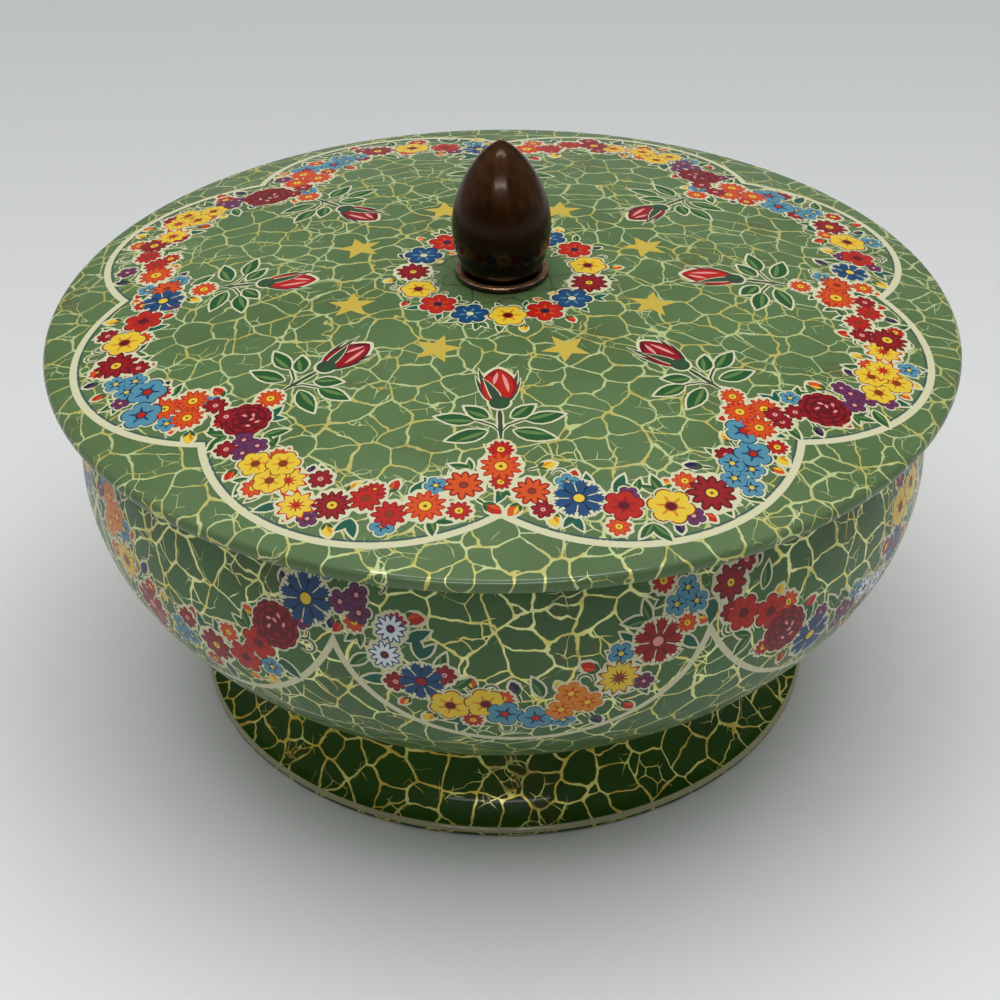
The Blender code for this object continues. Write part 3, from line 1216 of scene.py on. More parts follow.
@dataclass(frozen=True)
class Tendril(Motif):
    """A curled cream stroke with a green thread in it.

    Attributes:
        length: How far it reaches.
        side: 1 if it curls to the left, -1 to the right.
    """

    length: float
    side: float

    def draw(self) -> Sketch:
        """Draws the stroke as a tightening curl.

        Returns:
            The sketch.
        """
        sketch, line = Sketch(), []
        for step in range(9):
            turn = math.radians(30.0 * step)
            reach = self.length * 0.36 * (1.0 - 0.062 * step)
            x = self.length * 0.2 + reach * math.sin(turn) * 1.15
            line.append((x, self.side * reach * (1.0 - math.cos(turn))))
        sketch.lay(ribbon(line, 1.25), Ink.CREAM, Layer.LEAF_HALO)
        sketch.lay(ribbon(line, 0.42), Ink.LEAF, Layer.LEAF)
        return sketch


@dataclass(frozen=True)
class RoseSprig(Motif):
    """A rosebud between spread sepals, on a stem with three pairs of leaves.

    Attributes:
        petal: The bud's main ink.
        shade: Its shaded side.
        glint: Its light fold.
    """

    petal: Ink
    shade: Ink
    glint: Ink

    # Root, heading, length and width of the leaves on one side; the points of the main stem
    # and of a side stem; heading, length, width and hook of the sepals behind and before the
    # bud; and of each stroke on the bud its root, heading, length, width, swell, bluntness,
    # hook and steps.
    LEAVES: ClassVar = (
        (6.6, 2.2, 56.0, 6.0, 3.3),
        (5.8, 5.0, 82.0, 7.8, 3.4),
        (2.6, 2.6, 112.0, 8.4, 3.6),
    )
    STEMS: ClassVar = (
        ((-0.6, 0.0), (3.5, 0.1), (7.0, -0.1), (10.4, 0.0)),
        ((2.0, 0.0), (4.2, 1.4), (5.6, 4.0), (6.0, 5.6)),
    )
    BEHIND: ClassVar = (
        (48.0, 9.8, 1.6, -0.42),
        (30.0, 12.6, 1.7, -0.22),
        (-34.0, 11.4, 1.6, 0.26),
        (-52.0, 8.6, 1.5, 0.46),
    )
    BEFORE: ClassVar = ((11.0, 9.2, 1.9, 0.14),)
    STROKES: ClassVar = (
        ((11.4, 0.0), 0.0, 11.4, 7.4, 0.9, 0.66, 0.0, 9),
        ((11.8, 1.9), 2.0, 8.6, 2.7, 0.95, 0.7, -0.06, 6),
        ((12.0, -0.8), 1.0, 10.2, 4.6, 0.95, 0.7, 0.02, 7),
        ((13.4, 0.9), 2.0, 8.0, 0.8, 1.1, 0.8, -0.05, 5),
        ((14.6, -1.9), 4.0, 6.4, 0.9, 1.0, 0.8, 0.1, 5),
        ((17.2, 1.0), -8.0, 4.4, 0.9, 1.0, 0.8, -0.06, 5),
    )

    def sepals(
        self,
        sketch: Sketch,
        fan: Sequence[tuple[float, ...]],
        extra: float,
        ink: Ink,
        layer: Layer = Layer.BLOOM,
    ) -> None:
        """Lays sepals that rise from the calyx.

        Args:
            sketch: The sketch.
            fan: Heading, length, width and hook of each.
            extra: How much wider than drawn they are, on each side.
            ink: Their ink.
            layer: Their layer.
        """
        for heading, long, wide, hook in fan:
            turn = math.radians(heading)
            start = (10.6 - extra * math.cos(turn), -extra * math.sin(turn))
            long, wide = long + 2.6 * extra, wide + 2 * extra
            sketch.lay(spear(start, heading, long, wide, 0.7, 0.9, hook, 7), ink, layer)

    def draw(self) -> Sketch:
        """Draws leaves, stems, bud, sepals and calyx, from the bottom up.

        Returns:
            The sketch.
        """
        sketch, under = Sketch(), Layer.BLOOM_HALO
        for side in (1.0, -1.0):
            for x, y, heading, long, wide in self.LEAVES:
                sketch.leaf((x, y * side), heading * side, long, wide, Ink.LEAF, -0.08 * side)
            coats = ((Ink.CREAM, 0.8, Layer.LEAF_HALO), (Ink.SEPAL, 0.0, Layer.LEAF))
            for ink, wider, layer in coats:
                for width, stem in zip((0.85, 0.5), self.STEMS):
                    line = [(x, y * side) for x, y in stem]
                    sketch.lay(ribbon(line, width + wider), ink, layer)
        bud = spear((11.0, 0.0), 0.0, 12.2 + HALO, 7.6 + 2 * HALO, 0.9, 0.62, 0.0, 9)
        sketch.lay(bud, Ink.CREAM, under)
        self.sepals(sketch, self.BEHIND, HALO, Ink.CREAM, under)
        sketch.lay(about((11.4, 0.0), 2.2 + HALO, 14), Ink.CREAM, under)
        self.sepals(sketch, self.BEHIND, 0.0, Ink.SEPAL)
        inks = (self.shade, self.petal, self.petal, self.shade, self.glint, self.glint)
        for ink, stroke in zip(inks, self.STROKES):
            sketch.lay(spear(*stroke), ink)
        self.sepals(sketch, self.BEFORE, 0.25, Ink.CREAM)
        self.sepals(sketch, self.BEFORE, 0.0, Ink.SEPAL)
        sketch.lay(about((11.4, 0.0), 2.1, 14), Ink.SEPAL)
        sketch.lay(about((11.2, -0.6), 0.9, 10), Ink.LEAF)
        return sketch


@dataclass(frozen=True)
class Star(Motif):
    """A five-pointed star, whose radius is how far its points reach."""

    radius: float

    def draw(self) -> Sketch:
        """Draws the ten corners.

        Returns:
            The sketch.
        """
        sketch, reaches = Sketch(), (self.radius, self.radius * 0.42)
        corners = [polar(reaches[step % 2], math.pi * step / 5.0) for step in range(10)]
        sketch.lay(corners, Ink.GOLD, Layer.LEAF)
        return sketch


# ---------------------------------------------------------- rows, press, wraps


@dataclass
class FlatShape:
    """One shape on the laid-out paper.

    Attributes:
        outline: Its corners, in millimetres.
        ink: Its material.
        rank: Sorts shapes from the bottom up.
    """

    outline: Outline
    ink: bpy.types.Material
    rank: tuple[float, ...]


class GrowingTree:
    """A geometry-nodes tree that is built once and grows a mesh from a path of edges."""

    NAME: ClassVar[str]
    INPUTS: ClassVar[dict[str, str]]
    OUTPUT: ClassVar[str]

    @classmethod
    def wire(cls, bench: NodeBench, given: dict[str, Socket]) -> Socket:
        """Wires the tree from its inputs, and returns the geometry that it makes."""
        raise NotImplementedError

    @classmethod
    def tree(cls) -> bpy.types.NodeTree:
        """Builds the tree, the first time that it is asked for.

        Returns:
            The tree.
        """
        known = bpy.data.node_groups.get(cls.NAME)
        if known:
            return known
        tree = bpy.data.node_groups.new(cls.NAME, "GeometryNodeTree")
        sides = [(name, kind, "INPUT") for name, kind in cls.INPUTS.items()]
        for name, kind, side in [*sides, (cls.OUTPUT, "Geometry", "OUTPUT")]:
            tree.interface.new_socket(name=name, in_out=side, socket_type=f"NodeSocket{kind}")
        bench = NodeBench(tree)
        given = dict(zip(cls.INPUTS, bench.put("NodeGroupInput").outputs))
        bench.put("NodeGroupOutput", {0: cls.wire(bench, given)})
        return tree

    @classmethod
    def grow(
        cls,
        name: str,
        path: Sequence[tuple[float, float, float]],
        closed: bool,
        values: dict[str, object],
    ) -> bpy.types.Mesh:
        """Runs the tree on a path and takes the result as a plain mesh.

        Args:
            name: The path's name.
            path: Its points, in metres.
            closed: Whether the last point joins the first.
            values: What the tree's named inputs are set to.

        Returns:
            The mesh.
        """
        edges = [(index, index + 1) for index in range(len(path) - 1)]
        line = bpy.data.meshes.new(name)
        line.from_pydata(list(path), edges + [(len(path) - 1, 0)] * closed, [])
        carrier = shown(name, line)
        modifier = carrier.modifiers.new(cls.NAME, "NODES")
        modifier.node_group = cls.tree()
        for socket in modifier.node_group.interface.items_tree:
            if socket.in_out == "INPUT" and socket.name in values:
                modifier[socket.identifier] = values[socket.name]
        depsgraph = bpy.context.evaluated_depsgraph_get()
        depsgraph.update()
        mesh = bpy.data.meshes.new_from_object(carrier.evaluated_get(depsgraph))
        carrier.modifiers.remove(modifier)
        bpy.data.objects.remove(carrier)
        return mesh


class RowTree(GrowingTree):
    """The tree that sets motifs along a path, one tree for every row."""

    NAME = "print_row"
    INPUTS = {
        "Path": "Geometry",
        "Motifs": "Collection",
        "Kinds": "Int",
        "Count": "Int",
        "Side": "Float",
        "Sway": "Float",
        "Turn": "Float",
        "Turn Spread": "Float",
        "Smallest": "Float",
        "Largest": "Float",
        "Stride": "Int",
        "Seed": "Int",
    }
    OUTPUT = "Print"

    @classmethod
    def strayed(
        cls, bench: NodeBench, seed: Socket, salt: float, low: object = -1.0, high: object = 1.0
    ) -> Socket:
        """A seeded random number for each point, set apart from the row's others by a salt."""
        inputs = {2: low, 3: high, "Seed": bench.math("ADD", seed, salt)}
        return bench.put("FunctionNodeRandomValue", inputs, data_type="FLOAT").outputs[1]

    @classmethod
    def wire(cls, bench: NodeBench, given: dict[str, Socket]) -> Socket:
        """Wires the row: spaced points, picked motifs, their strays, and an ink on each face.

        Args:
            bench: The tree.
            given: Its inputs.

        Returns:
            The laid-out shapes.
        """
        curve = bench.put("GeometryNodeMeshToCurve", {"Mesh": given["Path"]}).outputs[0]
        inputs = {"Curve": curve, "Count": given["Count"]}
        spaced = bench.put("GeometryNodeResampleCurve", inputs).outputs[0]
        index = bench.put("GeometryNodeInputIndex").outputs[0]
        tangent = bench.split(bench.put("GeometryNodeInputTangent").outputs[0])

        inputs = {"Collection": given["Motifs"], "Separate Children": True, "Reset Children": True}
        motifs = bench.put("GeometryNodeCollectionInfo", inputs, transform_space="ORIGINAL")
        size = cls.strayed(bench, given["Seed"], 1.0, given["Smallest"], given["Largest"])
        pick = bench.math("MODULO", bench.times(index, given["Stride"]), given["Kinds"])
        inputs = {
            "Points": spaced,
            "Instance": motifs.outputs[0],
            "Pick Instance": True,
            "Instance Index": pick,
            "Rotation": bench.join(z=bench.math("ARCTAN2", tangent[1], tangent[0])),
            "Scale": size,
        }
        placed = bench.put("GeometryNodeInstanceOnPoints", inputs).outputs[0]

        sway = bench.times(cls.strayed(bench, given["Seed"], 2.0), given["Sway"])
        aside = bench.join(0.0, bench.math("ADD", given["Side"], sway), bench.times(index, MM))
        inputs = {"Instances": placed, "Translation": aside}
        moved = bench.put("GeometryNodeTranslateInstances", inputs).outputs[0]
        spread = bench.times(cls.strayed(bench, given["Seed"], 3.0), given["Turn Spread"])
        turn = bench.join(z=bench.math("ADD", given["Turn"], spread))
        inputs = {"Instances": moved, "Rotation": turn}
        rotated = bench.put("GeometryNodeRotateInstances", inputs).outputs[0]

        result = bench.put("GeometryNodeRealizeInstances", {0: rotated}).outputs[0]
        number = bench.put("GeometryNodeInputNamedAttribute", {"Name": "ink"}, data_type="INT")
        for ink in Ink:
            inputs = {2: number.outputs[0], 3: ink.number}
            same = bench.put("FunctionNodeCompare", inputs, data_type="INT", operation="EQUAL")
            inputs = {"Geometry": result, "Selection": same.outputs[0], "Material": ink.material()}
            result = bench.put("GeometryNodeSetMaterial", inputs).outputs[0]
        return result


class LatheTree(GrowingTree):
    """The tree that turns a run about the axis into a closed skin."""

    NAME = "lathe"
    INPUTS = {"Run": "Geometry", "Steps": "Int", "Sharp Angle": "Float", "Finish": "Material"}
    OUTPUT = "Skin"

    # Points closer than this are one, in metres.
    MERGE: ClassVar = 2e-6

    @classmethod
    def wire(cls, bench: NodeBench, given: dict[str, Socket]) -> Socket:
        """Wires a grid whose columns are copies of the run, closed into a tube.

        Args:
            bench: The tree.
            given: Its inputs.

        Returns:
            The skin.
        """
        run, steps = given["Run"], given["Steps"]
        size = bench.put("GeometryNodeAttributeDomainSize", {0: run}, component="MESH")
        rows = size.outputs["Point Count"]
        inputs = {"Vertices X": bench.math("ADD", steps, 1.0), "Vertices Y": rows}
        grid = bench.put("GeometryNodeMeshGrid", inputs).outputs["Mesh"]

        index = bench.put("GeometryNodeInputIndex").outputs[0]
        middle = bench.math("ADD", index, 0.5)
        column = bench.math("FLOOR", bench.math("DIVIDE", middle, rows))
        inputs = {
            0: run,
            "Value": bench.put("GeometryNodeInputPosition").outputs[0],
            "Index": bench.math("SUBTRACT", index, bench.times(column, rows)),
        }
        kind = {"data_type": "FLOAT_VECTOR", "domain": "POINT"}
        sample = bench.put("GeometryNodeSampleIndex", inputs, **kind)
        radius, _, height = bench.split(sample.outputs[0])

        wrapped = bench.math("MODULO", column, steps)
        turn = bench.times(bench.math("DIVIDE", wrapped, steps), 2.0 * math.pi)
        x, y = (bench.times(radius, bench.math(name, turn)) for name in ("COSINE", "SINE"))
        inputs = {"Geometry": grid, "Position": bench.join(x, y, height)}
        moved = bench.put("GeometryNodeSetPosition", inputs).outputs[0]
        inputs = {"Geometry": moved, "Distance": cls.MERGE}
        merged = bench.put("GeometryNodeMergeByDistance", inputs).outputs[0]

        smooth = bench.put("GeometryNodeSetShadeSmooth", {"Geometry": merged}, domain="FACE")
        bend = bench.put("GeometryNodeInputMeshEdgeAngle").outputs["Unsigned Angle"]
        inputs = {
            "Geometry": smooth.outputs[0],
            "Selection": bench.math("GREATER_THAN", bend, given["Sharp Angle"]),
            "Shade Smooth": False,
        }
        sharp = bench.put("GeometryNodeSetShadeSmooth", inputs, domain="EDGE").outputs[0]
        real = bench.put("GeometryNodeRealizeInstances", {0: sharp}).outputs[0]
        inputs = {"Geometry": real, "Material": given["Finish"]}
        return bench.put("GeometryNodeSetMaterial", inputs).outputs[0]


@dataclass
class PrintRow:
    """A row of motifs along a flat path.

    Attributes:
        name: What the row is.
        path: The path, in millimetres.
        motifs: What is set along it, picked in turn.
        count: How many are set.
        side: How far beside the path, to the left.
        sway: How far they stray across it.
        turn: Their turn from the path's direction, in degrees.
        spread: How far that strays, in degrees.
        sizes: Their least and greatest scale.
        stride: How many kinds on the next pick is.
        seed: The seed of all that strays.
        closed: Whether the path is closed.
    """

    name: str
    path: Outline
    motifs: Sequence[Motif]
    count: int
    side: float = 0.0
    sway: float = 0.0
    turn: float = 0.0
    spread: float = 0.0
    sizes: Point = (1.0, 1.0)
    stride: int = 1
    seed: int = 0
    closed: bool = True

    def shapes(self, order: int) -> list[FlatShape]:
        """Lays the row out.

        Args:
            order: The row's place among the rows, from the bottom up.

        Returns:
            Its shapes.
        """
        box = bpy.data.collections.new(self.name)
        papers = [
            motif.draw().paper(f"{self.name}_{index:02d}")
            for index, motif in enumerate(self.motifs)
        ]
        for paper in papers:
            box.objects.link(paper)
        values = {
            "Motifs": box,
            "Kinds": len(papers),
            "Count": self.count,
            "Side": self.side * MM,
            "Sway": self.sway * MM,
            "Turn": math.radians(self.turn),
            "Turn Spread": math.radians(self.spread),
            "Smallest": self.sizes[0],
            "Largest": self.sizes[1],
            "Stride": self.stride,
            "Seed": self.seed,
        }
        path = [(x * MM, y * MM, 0.0) for x, y in self.path]
        mesh = RowTree.grow(self.name, path, self.closed, values)
        layers, places = mesh.attributes["layer"].data, mesh.attributes["place"].data
        corners = [vertex.co / MM for vertex in mesh.vertices]
        laid = []
        for face in mesh.polygons:
            outline = [(corners[index].x, corners[index].y) for index in face.vertices]
            motif = corners[face.vertices[0]].z
            rank = (layers[face.index].value, order, motif, places[face.index].value)
            laid.append(FlatShape(outline, mesh.materials[face.material_index], rank))
        bpy.data.meshes.remove(mesh)
        for paper in papers:
            bpy.data.objects.remove(paper)
        bpy.data.collections.remove(box)
        log.info("row %s: %d motifs, %d shapes", self.name, self.count, len(laid))
        return laid


@dataclass
class PrintedLine:
    """A line of even width along a flat path with corners.

    Attributes:
        path: Its middle, in millimetres.
        width: Its width.
        ink: Its ink.
        closed: Whether the path is closed.
    """

    path: Outline
    width: float
    ink: Ink
    closed: bool = True

    # The least cosine at a corner, which keeps its mitre short.
    SHARPEST: ClassVar = 0.35

    def edge(self, offset: float) -> Outline:
        """Moves the path to its left, mitred at its corners.

        Args:
            offset: How far it moves.

        Returns:
            The moved path.
        """
        count, moved = len(self.path), []
        for index, here in enumerate(self.path):
            sides = []
            for other in (index - 1, index + 1):
                if self.closed or 0 <= other < count:
                    step = Vector(self.path[other % count]) - Vector(here)
                    sides.append((step if other > index else -step).normalized())
            normals = [Vector((-step.y, step.x)) for step in sides]
            mean = sum(normals, Vector(ORIGIN)).normalized()
            mitre = offset / max(mean.dot(normals[0]), self.SHARPEST)
            moved.append((here[0] + mean.x * mitre, here[1] + mean.y * mitre))
        return moved

    def shapes(self, order: int) -> list[FlatShape]:
        """Lays the line out as short four-cornered shapes.

        Args:
            order: The line's place among the rows, from the bottom up.

        Returns:
            Its shapes.
        """
        left, right = self.edge(self.width / 2.0), self.edge(-self.width / 2.0)
        laid, ink = [], self.ink.material()
        for index in range(len(self.path) - (0 if self.closed else 1)):
            after = (index + 1) % len(self.path)
            outline = [right[index], right[after], left[after], left[index]]
            laid.append(FlatShape(outline, ink, (Layer.LINE, order, index, 0)))
        return laid


@dataclass(frozen=True)
class Run:
    """A line in the half plane of radius and height, in millimetres.

    When it is turned about the axis, its right-hand side becomes the outside.

    Attributes:
        points: Its points, each a radius and a height.
    """

    points: tuple[Point, ...]

    # Shorter steps have no direction; the least cosine at a corner keeps its mitre short.
    SHORTEST: ClassVar = 1e-9
    SHARPEST: ClassVar = 0.5

    def shifted(self, distance: float) -> "Run":
        """Moves the run to its right.

        Args:
            distance: How far it moves.

        Returns:
            The moved run.
        """
        moved = []
        for index, (radius, height) in enumerate(self.points):
            before = Vector(self.points[max(index - 1, 0)])
            after = Vector(self.points[min(index + 1, len(self.points) - 1)])
            here = Vector((radius, height))
            long = [step for step in (here - before, after - here) if step.length > self.SHORTEST]
            steps = [step.normalized() for step in long]
            normals = [Vector((step.y, -step.x)) for step in steps]
            mean = sum(normals, Vector(ORIGIN)).normalized()
            away = distance / max(mean.dot(normals[0]), self.SHARPEST)
            moved.append((max(radius + mean.x * away, 0.0), height + mean.y * away))
        return Run(tuple(moved))

    def reverse(self) -> "Run":
        """The same run, walked the other way."""
        return Run(self.points[::-1])

    def faces(self, wall: float) -> tuple["Run", "Run"]:
        """The right-hand face of a sheet along the run, and the left-hand one with its ends."""
        right, left = self.shifted(wall / 2.0), self.shifted(-wall / 2.0).reverse()
        return right, Run((right.points[-1], *left.points, right.points[0]))


def arc(centre: Point, radius: float, start: float, end: float, steps: int) -> list[Point]:
    """The points on an arc, from a start angle to an end angle in degrees, both included."""
    turns = [math.radians(start + (end - start) * step / steps) for step in range(steps + 1)]
    return [polar(radius, turn, centre) for turn in turns]


def between(start: Point, end: Point, out: float, up: float) -> Point:
    """The point at given shares of the way from start to end, out and up."""
    return (start[0] + (end[0] - start[0]) * out, start[1] + (end[1] - start[1]) * up)


@dataclass
class Wrap:
    """Carries flat paper onto a turned surface.

    Attributes:
        run: The surface's run, walked so that its right-hand side is the outside.
        turn: How far the paper is turned about the axis, in degrees.
        keys: What the place on the run is looked up by, rising.
        lift: How far the print stands over the surface, in millimetres.
    """

    run: Run
    turn: float = 0.0
    keys: list[float] = field(default_factory=list)
    lift: float = 0.03

    def along(self, key: float) -> tuple[Vector, Vector]:
        """Looks the run up.

        Args:
            key: The place on it.

        Returns:
            Radius and height there, and the outward normal in the half plane.
        """
        index = min(max(bisect_left(self.keys, key), 1), len(self.keys) - 1)
        low, high = self.keys[index - 1], self.keys[index]
        share = (key - low) / (high - low)
        points = self.run.points

        def normal(at: int) -> Vector:
            """The outward normal at a point of the run."""
            before, after = points[max(at - 1, 0)], points[min(at + 1, len(points) - 1)]
            return Vector((after[1] - before[1], before[0] - after[0])).normalized()

        place = Vector(points[index - 1]).lerp(Vector(points[index]), share)
        return place, normal(index - 1).lerp(normal(index), share).normalized()

    def angle(self, point: Point) -> float:
        """The angle about the axis of a point on the paper, in radians."""
        raise NotImplementedError

    def key(self, point: Point) -> float:
        """The place on the run of a point on the paper."""
        raise NotImplementedError

    def place(self, point: Point) -> tuple[Vector, Vector]:
        """Wraps a point.

        Args:
            point: The point on the paper.

        Returns:
            Its place, in metres, and the surface's normal there.
        """
        spot, outward = self.along(self.key(point))
        spot += outward * self.lift
        cos, sin = polar(1.0, self.angle(point))
        place = Vector((spot.x * cos, spot.x * sin, spot.y)) * MM
        return place, Vector((outward.x * cos, outward.x * sin, outward.y))


@dataclass
class DomeWrap(Wrap):
    """Lays paper on the lid's dome, as seen from above."""

    def __post_init__(self) -> None:
        """Finds the dome's radii; the run comes in from the rim."""
        self.run = Run(tuple(sorted(self.run.points)))
        self.keys = [radius for radius, _ in self.run.points]

    def along(self, key: float) -> tuple[Vector, Vector]:
        """As for every wrap, but the outward side is up."""
        place, outward = super().along(key)
        return place, outward if outward.y > 0 else -outward

    def angle(self, point: Point) -> float:
        """The angle of the point on the paper."""
        return math.atan2(point[1], point[0]) + math.radians(self.turn)

    def key(self, point: Point) -> float:
        """The radius of the point on the paper."""
        return math.hypot(*point)


@dataclass
class BeltWrap(Wrap):
    """Winds a strip of paper round the tin: x is the way round, y the height.

    Attributes:
        girth: The radius at which the strip isn't stretched.
    """

    girth: float = 95.0

    def __post_init__(self) -> None:
        """Takes the rising part of the run."""
        rising = [self.run.points[0]]
        for point in self.run.points[1:]:
            if point[1] > rising[-1][1]:
                rising.append(point)
            elif point[1] < rising[-1][1]:
                break
        self.run = Run(tuple(rising))
        self.keys = [height for _, height in rising]

    def angle(self, point: Point) -> float:
        """The angle that the strip's x comes to, from the front."""
        return point[0] / self.girth + math.radians(self.turn - 90.0)

    def key(self, point: Point) -> float:
        """The height, which is the strip's y."""
        return point[1]


@dataclass
class PrintPress:
    """Joins what lies on the paper into one layer, without overlaps, and wraps it.

    Attributes:
        wrap: The wrap.
        grain: The spacing of the extra points that let the layer bend, in millimetres.
        period: The length of a strip that closes on itself, or 0.
    """

    wrap: Wrap
    grain: float = 2.6
    period: float = 0.0

    # How far every second row of the extra points is moved, in spacings, how far a cut runs
    # past the print, and how close points must be to be joined, in millimetres.
    STAGGER: ClassVar = 0.31
    OVERRUN: ClassVar = 1.0
    CLOSEST: ClassVar = 1e-4

    def repeated(self, shapes: list[FlatShape]) -> list[FlatShape]:
        """Adds a copy at the other end of the strip of each shape that runs over an end.

        Args:
            shapes: What lies on the paper.

        Returns:
            The same shapes with the copies.
        """
        if not self.period:
            return shapes
        half, extra = self.period / 2.0, []
        for shape in shapes:
            low, high = min(x for x, _ in shape.outline), max(x for x, _ in shape.outline)
            for over, shift in ((high > half, -self.period), (low < -half, self.period)):
                if over:
                    outline = [(x + shift, y) for x, y in shape.outline]
                    extra.append(FlatShape(outline, shape.ink, shape.rank))
        return shapes + extra

    def press(self, names: Sequence[str], shapes: list[FlatShape]) -> list[bpy.types.Object]:
        """Presses and wraps the shapes.

        Args:
            names: A name for the whole layer, or one for its left half and one for its right
                half, which keeps each of them under the limit of faces.
            shapes: What lies on the paper.

        Returns:
            The printed layer, whole or in halves.
        """
        stack = sorted(self.repeated(shapes), key=lambda shape: shape.rank)
        points: list[Vector] = []
        faces: list[list[int]] = []
        for shape in stack:
            faces.append(list(range(len(points), len(points) + len(shape.outline))))
            points += [Vector(corner) for corner in shape.outline]
        low = Vector((min(p.x for p in points), min(p.y for p in points)))
        high = Vector((max(p.x for p in points), max(p.y for p in points)))
        half = self.period / 2.0
        edges = []
        for x in ((-half, half) if self.period else ()) + ((0.0,) if len(names) > 1 else ()):
            edges.append((len(points), len(points) + 1))
            points += [Vector((x, low.y - self.OVERRUN)), Vector((x, high.y + self.OVERRUN))]
        columns, rows = (math.ceil((high[axis] - low[axis]) / self.grain) + 1 for axis in (0, 1))
        for column in range(columns):
            for row in range(rows):
                x = low.x + self.grain * (column + self.STAGGER * (row % 2))
                points.append(Vector((x, low.y + self.grain * row)))
        flat, _, cut, _, _, sources = delaunay_2d_cdt(points, edges, faces, 0, self.CLOSEST, True)

        kept: dict[str, list[tuple[Sequence[int], bpy.types.Material]]] = {n: [] for n in names}
        for corners, source in zip(cut, sources):
            middle = sum(flat[index].x for index in corners) / len(corners)
            if source and not (self.period and abs(middle) > half):
                name = names[-1] if middle > 0.0 else names[0]
                kept[name].append((corners, stack[max(source)].ink))
        return [self.layer(name, flat, inked) for name, inked in kept.items()]

    def layer(
        self,
        name: str,
        flat: Sequence[Vector],
        inked: Sequence[tuple[Sequence[int], bpy.types.Material]],
    ) -> bpy.types.Object:
        """Wraps pressed faces, and makes them an object.

        Args:
            name: The object's name.
            flat: The points of the pressed paper.
            inked: The corners and the ink of each face.

        Returns:
            The object.
        """
        inks = list(dict.fromkeys(ink for _, ink in inked))
        used: dict[int, int] = {}
        kept = [[used.setdefault(index, len(used)) for index in corners] for corners, _ in inked]
        spots, normals = zip(*(self.wrap.place(tuple(flat[index])) for index in used))
        first, second, third = kept[0][:3]
        across = (spots[second] - spots[first]).cross(spots[third] - spots[first])
        if across.dot(normals[first]) < 0:
            kept = [corners[::-1] for corners in kept]
        mesh = bpy.data.meshes.new(name)
        mesh.from_pydata(spots, [], kept)
        for ink in inks:
            mesh.materials.append(ink)
        mesh.polygons.foreach_set("material_index", [inks.index(ink) for _, ink in inked])
        mesh.polygons.foreach_set("use_smooth", [True] * len(kept))
        mesh.normals_split_custom_set_from_vertices(normals)
        log.info("press %s: %d faces, %d inks", name, len(kept), len(inks))
        return shown(name, mesh)


def turned(
    name: str, run: Run, finish: Finish, steps: int = 192, sharp: float = 40.0
) -> bpy.types.Object:
    """Turns a run about the axis.

    Args:
        name: The object's name.
        run: The run.
        finish: Its finish.
        steps: How many steps it has round the axis.
        sharp: The bend, in degrees, over which an edge is sharp.

    Returns:
        The turned skin.
    """
    path = [(radius * MM, 0.0, height * MM) for radius, height in run.points]
    values = {"Steps": steps, "Sharp Angle": math.radians(sharp), "Finish": finish.material()}
    mesh = LatheTree.grow(f"{name}_run", path, False, values)
    mesh.name = name
    return shown(name, mesh)


# ---------------------------------------------------------------- sub-assemblies


